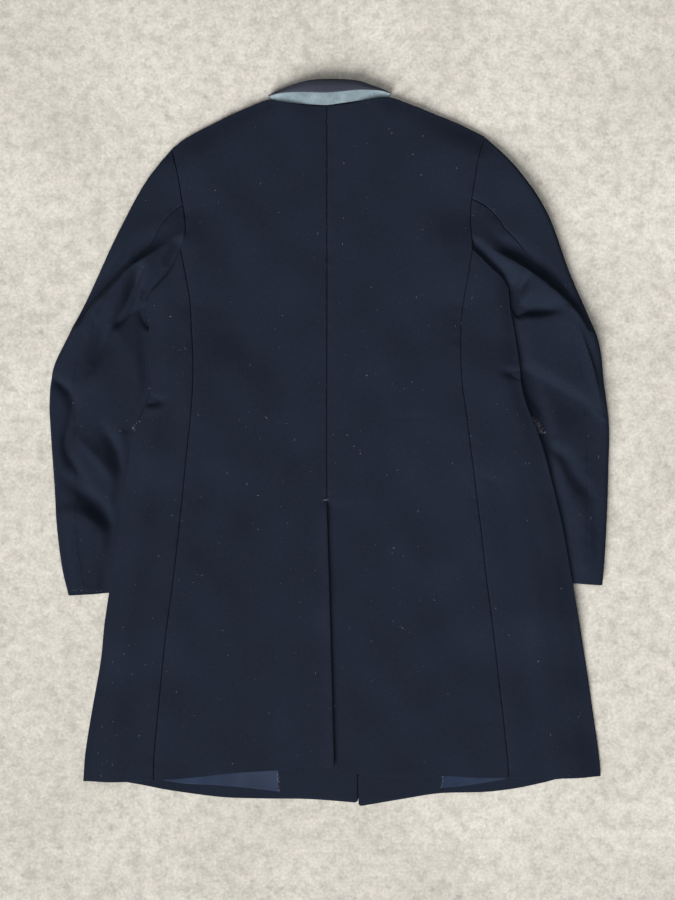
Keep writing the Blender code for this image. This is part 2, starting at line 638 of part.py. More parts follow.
def ring_lines(side):
    """The armhole seam's points on the back and on the front, from the shoulder to the underarm.

    Each comes in two parts, split where the sleeve's hind-arm or forearm seam meets it.
    """
    left = side == "left"
    down = np.linspace(0, 1, ARMHOLE_ROWS + 1)
    back = Curve(ARMHOLE_LEFT if left else ARMHOLE_RIGHT).at(down)
    front = Curve(FRONT_ARMHOLE_LEFT if left else FRONT_ARMHOLE_RIGHT).at(down)
    underarm = Curve(UNDERARM_LEFT if left else UNDERARM_RIGHT).at(SHARE_OVER)
    underarm_front = Curve(UNDERARM_FRONT_LEFT if left else UNDERARM_FRONT_RIGHT).at(SHARE_UNDER)[::-1]
    return (
        (halved(back[: HIND_POINT + 1]), halved(np.vstack([back[HIND_POINT:], underarm[1:]]))),
        (front[: FORE_POINT + 1], np.vstack([front[FORE_POINT:], underarm_front[1:]])),
    )


def sleeve_rows(plan, side, ring, seam):
    """Plan rows over or under a sleeve, in two parts: outer edge to seam, and seam to inner edge."""
    down = np.linspace(0, 1, SLEEVE_ROWS + 1)
    outer = plan.outer[side].at(down)
    inner = plan.inner[side].at(down)
    table = plan.sleeve[side]
    seam_share = np.interp(down, np.linspace(0, 1, len(table)), [getattr(row, seam) for row in table])
    whole = np.vstack([ring[0], ring[1][1:]])
    at_ring = row_shares(whole)
    ring_seam = at_ring[len(ring[0]) - 1]
    outer_part, inner_part = [], []
    for index, share in enumerate(down):
        fade = (1 - share) ** BOW_FADE
        seam_at = ring_seam + (seam_share[index] - ring_seam) * (1 - fade)
        across = np.where(
            at_ring <= ring_seam,
            at_ring / ring_seam * seam_at,
            seam_at + (at_ring - ring_seam) / (1 - ring_seam) * (1 - seam_at),
        )
        bow = whole - (whole[0] + (whole[-1] - whole[0]) * at_ring[:, None])
        row = outer[index] + (inner[index] - outer[index]) * across[:, None] + fade * bow
        if index == 0:
            row = away_from_body(row, side)
        outer_part.append(row[: len(ring[0])])
        inner_part.append(row[len(ring[0]) - 1 :])
    return np.array(outer_part), np.array(inner_part)


def away_from_body(line, side):
    """The armhole seam moved outwards by the seam gap."""
    along = np.gradient(line, axis=0)
    along /= np.linalg.norm(along, axis=1, keepdims=True)
    outward = np.column_stack([along[:, 1], -along[:, 0]])
    return line + outward * SEAM_GAP * (1 if side == "left" else -1)


def build_sleeve(side, plan):
    back_ring, front_ring = ring_lines(side)
    over_outer, over_inner = sleeve_rows(plan, side, back_ring, "hind")
    under_outer, under_inner = sleeve_rows(plan, side, front_ring, "fore")
    half = SEAM_GAP / 2
    pieces = {
        f"top_sleeve_{side}": (
            pull_in(over_outer[:, ::-1], (half, 0, 0, 0)),
            pull_in(under_outer, (0, half, 0, 0)),
        ),
        f"under_sleeve_{side}": (
            pull_in(over_inner, (half, 0, 0, 0)),
            pull_in(under_inner[:, ::-1], (0, half, 0, 0)),
        ),
    }
    from_armhole = np.linspace(0, 1, SLEEVE_ROWS + 1) / ARMHOLE_BLEND
    for name, (upper, lower) in pieces.items():
        high = np.array([plan.sleeve_top(row, place) for row, place in zip(upper, from_armhole)])
        outside, inside = wrapped(upper, lower, high, np.zeros(lower.shape[:2]), SLEEVE_WALL)
        add_solid(name, outside, inside, MELTON)


def build_trim(name, corners, plan, across_count=10, down_count=5):
    """A flap or lapel: a flat piece between the floor or a sleeve and the front."""
    corners = np.array(corners, float)
    across = np.linspace(0, 1, across_count)
    down = np.linspace(0, 1, down_count)
    rows = bowed_rows(
        corners[0] + (corners[3] - corners[0]) * down[:, None],
        corners[1] + (corners[2] - corners[1]) * down[:, None],
        corners[0] + (corners[1] - corners[0]) * across[:, None],
        corners[3] + (corners[2] - corners[3]) * across[:, None],
        across,
        down,
    )
    bottom = heights(rows, plan.trim_bottom)
    add_solid(name, lay(rows, bottom + TRIM_WALL), lay(rows, bottom), MELTON)


def build_band(name, left, right, hem, plan, wall, cloth):
    """A piece that lies inside a front near its hem, between two lines down the coat."""
    across = np.linspace(0, 1, BAND_COLUMNS)
    down = np.linspace(0, 1, BAND_ROWS)
    bottom_line = Curve(hem).at(across)
    top_line = np.column_stack([left + (right - left) * across, np.full(BAND_COLUMNS, LINING_TOP)])
    rows = top_line + (bottom_line - top_line) * down[:, None, None]
    bottom = heights(rows, plan.body_bottom) + WALL + SEAM_GAP
    add_solid(name, lay(rows, bottom + wall), lay(rows, bottom), cloth)


def build_collar(name, profile, wall, cloth):
    """A collar layer: one profile across the collar, drawn along the neck and shrunk to its ends."""
    outline = [(point.out, point.height) for point in profile]
    path = Curve(outline).at(np.linspace(0, 1, COLLAR_POINTS))
    tangent = np.gradient(path, axis=0)
    tangent /= np.linalg.norm(tangent, axis=1, keepdims=True)
    normal = np.column_stack([-tangent[:, 1], tangent[:, 0]])
    places = np.linspace(0, 1, COLLAR_PLACES)
    neck = Curve(column(COLLAR, "neck_x", "neck_y")).at(places)
    roll = Curve(column(COLLAR, "roll_x", "roll_y")).at(places)
    surfaces = []
    for side in (-0.5, 0.5):
        line = path + normal * wall * side
        surface = []
        for start, end in zip(neck, roll):
            size = np.linalg.norm(end - start) / COLLAR_DEPTH
            outward = (end - start) / COLLAR_DEPTH
            lift = COLLAR_END_LIFT + (1 - COLLAR_END_LIFT) * size
            surface.append([(*(start + outward * out), height * lift) for out, height in line])
        surfaces.append(np.array(surface))
    add_solid(name, surfaces[0], surfaces[1], cloth)


def build_coat():
    plan = Plan()
    for side in SIDES:
        build_back(side, plan)
        build_side(side, plan)
        build_front(side, plan)
        build_sleeve(side, plan)
    build_trim("flap_left", FLAP_LEFT, plan)
    build_trim("flap_right", FLAP_RIGHT, plan)
    build_trim("lapel_left", LAPEL_LEFT, plan)
    build_trim("lapel_right", LAPEL_RIGHT, plan)
    build_trim("collar_end_left", COLLAR_END_LEFT, plan, 4, 4)
    build_trim("collar_end_right", COLLAR_END_RIGHT, plan, 4, 4)
    lining_left = (-LINING_SIDE, FACING_INNER_LEFT - SEAM_GAP)
    lining_right = (FACING_INNER_RIGHT + SEAM_GAP, LINING_SIDE)
    facing_left = (FACING_INNER_LEFT, FACING_EDGE_LEFT)
    facing_right = (FACING_EDGE_RIGHT, FACING_INNER_RIGHT)
    build_band("facing_left", *facing_left, FACING_HEM_LEFT, plan, FACING_WALL, MELTON)
    build_band("facing_right", *facing_right, FACING_HEM_RIGHT, plan, FACING_WALL, MELTON)
    build_band("lining_left", *lining_left, LINING_HEM_LEFT, plan, LINING_WALL, SATIN)
    build_band("lining_right", *lining_right, LINING_HEM_RIGHT, plan, LINING_WALL, SATIN)
    build_collar("top_collar", TOP_COLLAR, WALL, COLLAR_CLOTH)
    build_collar("under_collar", UNDER_COLLAR, FELT_WALL, FELT)


for existing in list(bpy.data.objects):
    bpy.data.objects.remove(existing)
build_coat()
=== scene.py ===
"""Long coat of navy wool melton, laid face down on a pale floor and seen from straight above.

Each piece is a thin shell on the form of its CAD solid, with finer folds, rolled seams and turned edges.
Tables and fields are in millimetres, and add_shell writes metres. X is across the coat, Y runs towards the
collar, Z is up.
"""

import math
from collections import namedtuple

import bpy
import numpy as np
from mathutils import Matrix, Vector
from mathutils.bvhtree import BVHTree


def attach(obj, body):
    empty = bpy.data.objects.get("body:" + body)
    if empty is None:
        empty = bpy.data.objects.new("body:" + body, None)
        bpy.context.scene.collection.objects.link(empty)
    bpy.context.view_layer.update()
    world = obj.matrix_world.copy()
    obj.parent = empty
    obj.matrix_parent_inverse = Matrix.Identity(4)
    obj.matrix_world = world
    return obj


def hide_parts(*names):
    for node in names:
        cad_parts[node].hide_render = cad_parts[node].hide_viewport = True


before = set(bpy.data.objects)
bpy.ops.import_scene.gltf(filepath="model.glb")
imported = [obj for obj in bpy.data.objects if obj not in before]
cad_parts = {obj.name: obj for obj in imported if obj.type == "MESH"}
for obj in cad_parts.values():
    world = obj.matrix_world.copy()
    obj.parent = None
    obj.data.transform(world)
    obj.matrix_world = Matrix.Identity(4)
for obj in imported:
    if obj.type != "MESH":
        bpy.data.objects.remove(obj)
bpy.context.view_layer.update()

MM = 0.001
SIDES = ("left", "right")

# Cloth, as in the solids
WALL = 2.4
SLEEVE_WALL = 1.8
FACING_WALL = 1.5
LINING_WALL = 1.0
FELT_WALL = 1.6
TRIM_WALL = 2.0
SEAM_GAP = 0.3
LAY_GAP = 1.0

# How rows are narrowed at their first and last columns and rows, for the gap of a seam
AT_FIRST = (SEAM_GAP / 2, 0, 0, 0)
AT_LAST = (0, SEAM_GAP / 2, 0, 0)
AT_BOTH = (SEAM_GAP / 2, SEAM_GAP / 2, 0, 0)

# Heights of the layers over the floor
BODY_DEPTH = 8.0  # from the fronts' underside to the back's upper face
SHOULDER_DEPTH = 5.7  # the same at the shoulders' edge
SHOULDER_RISE = 25.0
PAD_HEIGHT = 5.0  # of the shoulder pads
PAD_RADIUS = 75.0
PAD_CENTRES = ((-176, 384), (174, 396))
SLEEVE_HIDDEN = 8.2  # a sleeve's upper face under the body
SLEEVE_SHOWN = 13.5  # and beside it
SLEEVE_LOWEST = 2 * SLEEVE_WALL + 0.3  # and in the deepest creases
SLEEVE_LIFT = SLEEVE_HIDDEN + LAY_GAP
LIFT_MARGIN = 8.0  # distance round a sleeve in which what lies on it stays raised
LIFT_RAMP_BELOW = 45.0  # distance in which the fronts come down from a sleeve to the floor
LIFT_RAMP_ABOVE = 95.0  # and in which the back does
CLEAR_MARGIN = 4.0  # distance beside the body in which a sleeve stays low
CLEAR_RAMP = 15.0  # and in which it then rises
ARMHOLE_FADE = 60.0  # distance up from the underarm in which a sleeve stops raising the body
ARMHOLE_BLEND = 0.16  # share of a sleeve's length in which it leaves the body's height
BOW_FADE = 10  # how soon the rows down a sleeve lose the armhole's curve
FLAP_LIFT = TRIM_WALL + 2 * LAY_GAP  # how far the front is raised over a flap
LAPEL_LIFT = TRIM_WALL + SEAM_GAP + 0.1  # and over a lapel or a collar end
TRIM_MARGIN = 24.0  # distance round a flap or lapel in which the front stays raised
TRIM_RAMP = 42.0  # distance in which the front then comes down
TRIM_RAMP_ABOVE = 63.0  # and in which the back does
CUFF_MARGIN = 30.0  # how far past its cuff a sleeve is taken to reach

# Vent
VENT_TOP = -75.0
VENT_UNDERLAP = 34.0
VENT_LIFT = WALL + 2 * SEAM_GAP  # how far the left back is raised on the underlap
VENT_MARGIN = 6.0  # distance beside the underlap in which it stays raised
VENT_RAMP = 45.0  # and in which it then comes down
VENT_RISE_START = 75.0  # distance over the vent's top at which it begins to rise
VENT_RISE = 60.0  # and in which it rises
VENT_CLOSE = 10.0  # distance down in which the right back leaves the left back's height
VENT_CURL = 3.2  # the left back's free edge curls up by this much
VENT_CURL_REACH = 16.0
VENT_ROLL = 3.2  # distance from that edge in which it rolls down again
VENT_ROLL_DROP = 0.35  # by about this share of that distance

# Finer form of the cloth
SPACING = 4.0  # between a shell's points
SLEEVE_SPACING = 0.65  # times that, on the upper side of the sleeves
BAND_SPACING = 0.8  # across the facings and linings
FRONT_SPACING = 1.5  # across the fronts
UNDER_SPACING = 2.0  # elsewhere underneath
LEAST_COUNT = 4
EDGE_STEPS = np.array([0, 0.35, 0.8, 1.4, 2.2, 3.6, 6.0])  # closer points' distances from a seam or edge
EDGE_PARTS = 4  # in a narrow strip they take up no more than one part in this many
SEAM_DROP = 2.1  # depth of the groove at a seam
SEAM_ROLL = 2.0  # half its width
SEAM_DIP = 0.5  # the pressed cloth beside a seam lies this much lower
SEAM_DIP_REACH = 14.0
TURN_SHARE = 0.3  # a turned edge's radius, as a share of the cloth's thickness
EDGE_FALL = 4.0  # how far the body comes down towards its folded sides
EDGE_FALL_REACH = 34.0
RIPPLE_HEIGHT = 0.55  # low unevenness of cloth that lies flat
RIPPLE_WAVES = 30
RIPPLE_LENGTHS = (60.0, 150.0)
PUCKER_HEIGHT = 0.22  # beside the seams
PUCKER_LENGTHS = (14.0, 26.0)
PUCKER_REACH = 9.0

# Rows down the body: plan y, and the x of its folded edges, of the back's seams and of the fronts' seams
SECTION_MARGIN = 8.0  # rows closer than this to a line's ends aren't used for it
Section = namedtuple("Section", "y edge_left seam_left front_left front_right seam_right edge_right")
BODY = [
    Section(264, -250, -201, -203, 196, 194, 246),
    Section(204, -244, -190, -197, 198, 184, 243),
    Section(184, -250, -188, -196, 199, 181, 245),
    Section(163, -245, -187, -196, 200, 179, 249),
    Section(115, -245, -184, -195, 204, 178, 257),
    Section(79, -241, -184, -197, 208, 180, 260),
    Section(50, -249, -186, -201, 213, 184, 268),
    Section(18, -264, -189, -207, 221, 188, 281),
    Section(-29, -273, -194, -216, 232, 194, 296),
    Section(-105, -286, -202, -230, 250, 204, 315),
    Section(-176, -295, -210, -241, 263, 212, 328),
    Section(-236, -304, -218, -249, 274, 220, 338),
    Section(-297, -312, -226, -257, 285, 228, 349),
    Section(-358, -323, -232, -265, 295, 235, 358),
    Section(-420, -333, -238, -272, 303, 242, 367),
    Section(-460, -336, -239, -276, 308, 245, 370),
]

# Rows down each sleeve: its outer and inner edge, and the share of the way between them of its two seams
Ring = namedtuple("Ring", "outer_x outer_y inner_x inner_y hind fore")
SLEEVES = {
    "left": [
        Ring(-215, 402, -244, 204, 0.34, 0.62),
        Ring(-250, 356, -246, 201, 0.57, 0.64),
        Ring(-283, 295, -247, 195, 0.52, 0.68),
        Ring(-322, 213, -245, 184, 0.31, 0.73),
        Ring(-351, 152, -232, 156, 0.21, 0.79),
        Ring(-375, 103, -209, 98, 0.19, 0.83),
        Ring(-381, 57, -209, 48, 0.19, 0.85),
        Ring(-379, 9, -213, -4, 0.19, 0.85),
        Ring(-375, -52, -216, -57, 0.19, 0.85),
        Ring(-371, -113, -217, -109, 0.19, 0.85),
        Ring(-364, -168, -218, -161, 0.19, 0.85),
        Ring(-355, -206, -219, -198, 0.19, 0.85),
    ],
    "right": [
        Ring(212, 418, 243, 211, 0.34, 0.62),
        Ring(253, 377, 245, 207, 0.55, 0.64),
        Ring(295, 316, 245, 201, 0.50, 0.68),
        Ring(326, 234, 244, 191, 0.31, 0.73),
        Ring(355, 166, 235, 165, 0.21, 0.79),
        Ring(368, 125, 209, 107, 0.19, 0.83),
        Ring(373, 77, 211, 57, 0.19, 0.85),
        Ring(380, 23, 215, 6, 0.19, 0.85),
        Ring(379, -38, 219, -47, 0.19, 0.85),
        Ring(377, -100, 223, -100, 0.19, 0.85),
        Ring(374, -154, 228, -147, 0.19, 0.85),
        Ring(371, -192, 232, -184, 0.19, 0.85),
    ],
}
HIND_SHARE = 0.56  # of the armhole's length, where the hind-arm seam meets it
FORE_SHARE = 0.67  # of the front armhole's, where the forearm seam does
HIND_SHOWN = 0.12  # share of the sleeve's length down to which the hind-arm seam shows a groove
HIND_FADE = 0.1  # and share in which the groove then fades

# Plan curves of each side, a few points along each
NECK = {
    "left": [(-3, 460.6), (-28, 460.8), (-45, 462.2), (-68, 465.6), (-83, 468)],
    "right": [(-3, 460.6), (12, 461.6), (30, 463.8), (52, 468), (69, 470.8), (84, 471)],
}
SHOULDER = {
    "left": [(-83, 468), (-108, 459), (-146, 442), (-195, 417), (-215, 402)],
    "right": [(84, 471), (107, 463), (140, 450), (171, 438), (194, 427), (212, 418)],
}
ARMHOLE = {
    "left": [(-215, 402), (-206, 367), (-201, 335), (-196, 306), (-195, 288), (-201, 264)],
    "right": [(212, 418), (203, 389), (198, 359), (193, 327), (192, 299), (194, 264)],
}
UNDERARM = {
    "left": [(-201, 264), (-214, 235), (-227, 220), (-244, 204)],
    "right": [(194, 264), (206, 252), (221, 237), (234, 226), (243, 211)],
}
FRONT_ARMHOLE = {
    "left": [(-215, 402), (-195, 356), (-186, 316), (-187, 285), (-203, 254)],
    "right": [(212, 418), (194, 373), (184, 332), (183, 294), (196, 261)],
}
UNDERARM_FRONT = {
    "left": [(-244, 204), (-222, 228), (-203, 254)],
    "right": [(243, 211), (219, 236), (196, 261)],
}
CENTRE_BACK = [(-3, 460.6), (-3, 193), (-3, -75), (1, -215), (7, -440)]
BACK_HEM = {
    "left": [(7, -440), (-40, -439), (-70, -444), (-133, -448), (-193, -455), (-239, -458)],
    "right": [(7, -440), (37, -448), (74, -452), (153, -452), (191, -454), (245, -455)],
}
SIDE_HEM = {
    "left": [(-239, -458), (-280, -460), (-336, -460)],
    "right": [(245, -455), (278, -456), (319, -455), (370, -453)],
}
FRONT_EDGE = {
    "left": [(-83, 468), (-73, 457), (-52, 397), (24, 168), (30, 138), (31, 90), (36.75, -215), (39.4, -490)],
    "right": [(84, 471), (74, 461), (58, 400), (40, 168), (36, 138), (36, 90), (37.4, -215), (39.6, -495)],
}
FRONT_HEM = {
    "left": [(-276, -462), (-253, -466), (-223, -472), (-149, -482), (-95, -484), (-27, -485), (38, -490)],
    "right": [(308, -458), (293, -462), (255, -470), (214, -475), (150, -477), (104, -484), (39.6, -495)],
}
SIDE_FRONT_HEM = {
    "left": [(-336, -460), (-300, -461), (-276, -462)],
    "right": [(370, -453), (340, -455), (308, -458)],
}
LINING_HEM = {
    "left": [(-240, -456), (-198, -463), (-155, -465), (-111, -469), (-69.6, -474)],
    "right": [(153.6, -469), (191, -465), (240, -457)],
}
FACING_HEM = {
    "left": [(-69.3, -482), (-27, -483), (37.6, -486.5)],
    "right": [(41.2, -491.3), (104, -482), (153.3, -475)],
}
# Plan x of the facings' and linings' two sides
FACING_SPAN = {"left": (-69.3, 38.0), "right": (40.4, 153.3)}
LINING_SPAN = {"left": (-240.0, -69.6), "right": (153.6, 240.0)}
LINING_TOP = -400.0  # and y of their upper ends
CORNER_RADIUS = {"left": 6.0, "right": 5.0}  # at the bottom of the front edges

# Corners of the pieces under the fronts
FLAP = {
    "left": [(-142, 68), (-236, 64), (-267, 19), (-135, 8)],
    "right": [(155, 68), (258, 60), (292, 14), (157, 7)],
}
LAPEL = {
    "left": [(-56, 393), (-138, 373), (-60, 250), (22, 150)],
    "right": [(62, 396), (140, 377), (96, 258), (42, 150)],
}
COLLAR_END = {
    "left": [(-76.4, 466.4), (-85, 464.6), (-112, 402), (-55, 397.5)],
    "right": [(78, 471), (86, 467.6), (112, 404), (61, 400.5)],
}

# The collar's neck seam and roll line in plan
Collar = namedtuple("Collar", "neck_x neck_y roll_x roll_y")
COLLAR = [
    Collar(-76, 466.6, -83, 473.5),
    Collar(-61, 464.0, -67, 480.5),
    Collar(-44, 461.8, -48, 487.0),
    Collar(-25, 459.8, -27, 492.0),
    Collar(-3, 459.2, -4, 493.6),
    Collar(16, 462.0, 18, 493.4),
    Collar(35, 464.8, 40, 491.7),
    Collar(52, 467.9, 57, 486.6),
    Collar(67, 470.6, 73, 481.5),
    Collar(78, 471.6, 84, 476.5),
]
COLLAR_END_LIFT = 0.35  # share of its height that the collar keeps at its ends
COLLAR_DEPTH = 34.0  # from neck to roll, where the profiles are full size
# Profiles across the collar: the distance out from the neck seam and the height over the floor
Profile = namedtuple("Profile", "out height")
TOP_COLLAR = [
    Profile(1.6, 2.4),
    Profile(16, 2.6),
    Profile(27, 5.0),
    Profile(32.8, 11.0),
    Profile(31.2, 17.5),
    Profile(23, 21.8),
    Profile(13.0, 22.8),
]
UNDER_COLLAR = [
    Profile(1.7, 7.2),
    Profile(12, 7.8),
    Profile(22, 9.2),
    Profile(27.2, 11.6),
    Profile(27.4, 15.2),
    Profile(24, 18.0),
    Profile(14.6, 19.2),
]
COLLAR_TURN_OUT = 26.0  # distance out beyond which the collar has turned over the felt
COLLAR_TURN_FADE = 2.2  # how fast the part turned over narrows to the collar's ends

# Creases: a line of plan points, how far the slope reaches on its left and on its right as seen along it,
# the height, and the shape across it: 2 is round and 1 is a sharp crest
Crease = namedtuple("Crease", "line left right height shape")
SLEEVE_CREASES = [
    Crease(
        [(-204, 277), (-231, 263), (-250, 250), (-268, 238), (-286, 218), (-317, 187), (-372, 134)],
        30, 4.5, 12, 1.35,
    ),
    Crease([(-202, 300), (-232, 281), (-262, 260), (-292, 232), (-318, 203), (-340, 180)], 9, 12, -8.5, 2),
    Crease([(-257, 236), (-266, 212), (-273, 192), (-289, 165)], 7, 6.5, -19, 1.7),
    Crease([(-284, 174), (-302, 156), (-308, 140), (-320, 104)], 9, 12, -8.5, 2),
    Crease([(-234, 190), (-262, 180), (-292, 164)], 46, 8, -6.5, 2),
    Crease([(-256, 188), (-248, 176), (-240, 156)], 9, 9, -9.0, 2),
    Crease(
        [(-384, 92), (-358, 76), (-347, 56), (-348, 30), (-356, 0), (-350, -24), (-333, -50)], 7, 9, -10.5, 1.8
    ),
    Crease([(-305, 22), (-289, -12), (-280, -54)], 8, 10, -9.0, 1.8),
    Crease([(-358, -46), (-323, -76), (-302, -102), (-282, -138)], 11, 11, -8.5, 2),
    Crease([(-338, 6), (-312, -22), (-292, -48)], 10, 8, 4.5, 1.5),
    Crease([(-378, -98), (-340, -96), (-292, -128)], 11, 55, 6.0, 2),
    Crease([(-388, 90), (-386, 0), (-378, -100), (-362, -208)], 30, 30, -6.0, 2),
    Crease([(-308, -120), (-304, -160), (-300, -204)], 14, 14, -4.5, 2),
    Crease([(-352, -120), (-346, -160), (-340, -202)], 16, 16, 3.5, 2),
    Crease([(-296, 130), (-312, 96), (-330, 70)], 13, 16, 3.5, 2),
    Crease(
        [(194, 271), (230, 256), (268, 234), (306, 205), (341, 172), (366, 145), (392, 116)], 4.5, 32, 12, 1.35
    ),
    Crease([(208, 290), (236, 270), (268, 248), (304, 220), (334, 190)], 11, 8, -8.5, 2),
    Crease([(246, 188), (256, 206), (267, 226)], 9, 7, -16, 1.7),
    Crease([(242, 186), (270, 182), (312, 184)], 13, 8, -13.0, 2),
    Crease([(249, 210), (253, 188), (258, 166)], 9, 8, -12.0, 2),
    Crease([(254, 108), (283, 90), (308, 76), (356, 46)], 9, 32, -9.5, 2),
    Crease([(256, 104), (274, 70), (288, 36)], 11, 11, -7.0, 1.8),
    Crease([(288, 50), (297, -3), (319, -18), (334, -45), (354, -70)], 10, 11, -7.5, 2),
    Crease([(286, -40), (306, -90), (322, -150)], 15, 13, -5.5, 2),
    Crease([(348, 148), (362, 102), (371, 76), (377, 46)], 4, 10, 6.0, 1.2),
    Crease([(330, -60), (346, -120), (352, -180)], 14, 14, 3.5, 2),
]
BODY_CREASES = [
    Crease([(-252, 60), (-238, 58), (-222, 58)], 5, 6, -4.5, 2),
    Crease([(-252, 49), (-240, 47), (-228, 49)], 7, 7, 2.4, 2),
    Crease([(265, 92), (248, 95), (232, 98)], 6, 5, -4.0, 2),
    Crease([(-232, 20), (-268, -200), (-296, -440)], 17, 20, 3.4, 2),
    Crease([(240, 20), (276, -200), (306, -440)], 20, 18, 3.4, 2),
    Crease([(-120, 120), (-135, -150), (-150, -420)], 34, 34, 1.8, 2),
    Crease([(110, 100), (128, -150), (140, -420)], 34, 34, 1.8, 2),
    Crease([(10, 20), (-93, -64), (-190, -160)], 34, 20, -3.0, 2),
    Crease([(88, 36), (114, 37), (139, 36)], 4, 4, -0.9, 2),
    Crease([(204, -46), (217, -49), (229, -53)], 5, 5, -1.2, 2),
]

# Mesh resolution
OUTLINE_POINTS = 40
INNER_SKIP = 3  # points of a sleeve's inner edge that its outline leaves out at the armhole
CREASE_POINTS = 17
CREASE_END = 0.06  # share of its length over which a crease fades out
CREASE_FULLNESS = 0.7  # below 1, a crease keeps its height for more of its length
CREASE_REACH = 3  # how many slopes away a crease still counts
ARC_STEPS = 10
SLIDE_REACH = 3  # radii before an edge's half round in which rows are drawn back from it
LEAST_RADIUS = 0.3  # of the inner face of a half round
LEAST_WIDTH = 1.0
STRIP_WIDTH = 60.0  # for which the closer points of the trim and the collar are laid out
TRIM_COUNT = 24
BAND_HEIGHT = 70.0
BAND_COUNT = 24
COLLAR_ACROSS = 28
COLLAR_ALONG = 90
SHARP_ANGLE = 55  # degrees
TINY = 1e-9  # keeps a length of nothing from being divided by


def smooth(share):
    """Eases from 0 at 0 to 1 at 1."""
    share = np.clip(share, 0.0, 1.0)
    return share * share * (3.0 - 2.0 * share)


class Curve:
    """A smooth plan curve through a few points, read at shares from 0 to 1.

    The shares are of its length, or of its table's rows where it is even.
    """

    def __init__(self, points, even=False):
        points = np.array(points, float)
        steps = np.ones(len(points) - 1) if even else np.linalg.norm(np.diff(points, axis=0), axis=1)
        knots = np.concatenate([[0.0], np.cumsum(steps)])
        slopes = np.empty_like(points)
        slopes[0] = (points[1] - points[0]) / steps[0]
        slopes[-1] = (points[-1] - points[-2]) / steps[-1]
        slopes[1:-1] = (points[2:] - points[:-2]) / (knots[2:] - knots[:-2])[:, None]
        self.points = points
        self.knots = knots
        self.slopes = slopes
        self.length = np.linalg.norm(np.diff(points, axis=0), axis=1).sum()

    def at(self, share):
        place = np.atleast_1d(share) * self.knots[-1]
        span = np.clip(np.searchsorted(self.knots, place, side="right") - 1, 0, len(self.points) - 2)
        length = (self.knots[span + 1] - self.knots[span])[:, None]
        part = (place - self.knots[span])[:, None] / length
        start, end = self.points[span], self.points[span + 1]
        start_slope, end_slope = self.slopes[span] * length, self.slopes[span + 1] * length
        cubic = part**3
        square = part**2
        return (
            (2 * cubic - 3 * square + 1) * start
            + (cubic - 2 * square + part) * start_slope
            + (3 * square - 2 * cubic) * end
            + (cubic - square) * end_slope
        )


def column(rows, *names):
    """One or more columns of a table, as points."""
    return [tuple(getattr(row, name) for name in names) for row in rows]


def body_curve(name, top, bottom):
    """A line down the body from one plan point to another, through the table's sections between them."""
    between = [
        (x, y)
        for x, y in column(BODY, name, "y")
        if bottom[1] + SECTION_MARGIN < y < top[1] - SECTION_MARGIN
    ]
    return Curve([top, *between, bottom])


def distance_to_line(points, line):
    """How far each plan point is from an open line."""
    best = np.full(len(points), np.inf)
    for start, end in zip(line[:-1], line[1:]):
        along = end - start
        share = np.clip(((points - start) @ along) / max(along @ along, TINY), 0, 1)
        best = np.minimum(best, np.linalg.norm(points - start - share[:, None] * along, axis=1))
    return best


def distance_outside(points, outline):
    """How far each plan point is outside a closed outline, 0 inside it."""
    closed = np.vstack([outline, outline[:1]])
    inside = np.zeros(len(points), bool)
    for (x0, y0), (x1, y1) in zip(closed[:-1], closed[1:]):
        crosses = (y0 > points[:, 1]) != (y1 > points[:, 1])
        reach = x0 + (points[:, 1] - y0) * (x1 - x0) / (y1 - y0 if y1 != y0 else TINY)
        inside ^= crosses & (points[:, 0] < reach)
    return np.where(inside, 0.0, distance_to_line(points, closed))


def crease_heights(points, creases):
    """The rise of soft ridges and the fall of soft troughs, each with its own slope on its two sides."""
    total = np.zeros(len(points))
    places = np.linspace(0, 1, CREASE_POINTS)
    strength = np.sin((CREASE_END + (1 - 2 * CREASE_END) * places) * math.pi) ** CREASE_FULLNESS
    for crease in creases:
        line = Curve(crease.line).at(places)
        reach = CREASE_REACH * max(crease.left, crease.right)
        near = np.all((points > line.min(0) - reach) & (points < line.max(0) + reach), axis=1)
        local = points[near]
        best = np.full(len(local), np.inf)
        level = np.zeros(len(local))
        width = np.full(len(local), float(crease.left))
        for index, start in enumerate(line[:-1]):
            along = line[index + 1] - start
            offset = local - start
            share = np.clip((offset @ along) / (along @ along), 0, 1)
            away = np.linalg.norm(offset - share[:, None] * along, axis=1)
            nearer = away < best
            on_left = along[0] * offset[:, 1] - along[1] * offset[:, 0] > 0
            best = np.where(nearer, away, best)
            level = np.where(nearer, strength[index] * (1 - share) + strength[index + 1] * share, level)
            width = np.where(nearer, np.where(on_left, crease.left, crease.right), width)
        total[near] += crease.height * level * np.exp(-((best / width) ** crease.shape))
    return total


def waves(seed, lengths):
    """Random plane waves of given wavelengths, whose sum is a soft uneven surface."""
    random = np.random.default_rng(seed)
    direction = random.uniform(0, 2 * math.pi, RIPPLE_WAVES)
    number = 2 * math.pi / random.uniform(*lengths, RIPPLE_WAVES)
    phase = random.uniform(0, 2 * math.pi, RIPPLE_WAVES)
    return np.column_stack([np.cos(direction) * number, np.sin(direction) * number]), phase


RIPPLE = waves(11, RIPPLE_LENGTHS)
PUCKER = waves(12, PUCKER_LENGTHS)


def uneven(points, kind):
    """A random soft surface of unit height."""
    numbers, phase = kind
    return np.sin(points @ numbers.T + phase).sum(axis=1) / math.sqrt(RIPPLE_WAVES / 2)


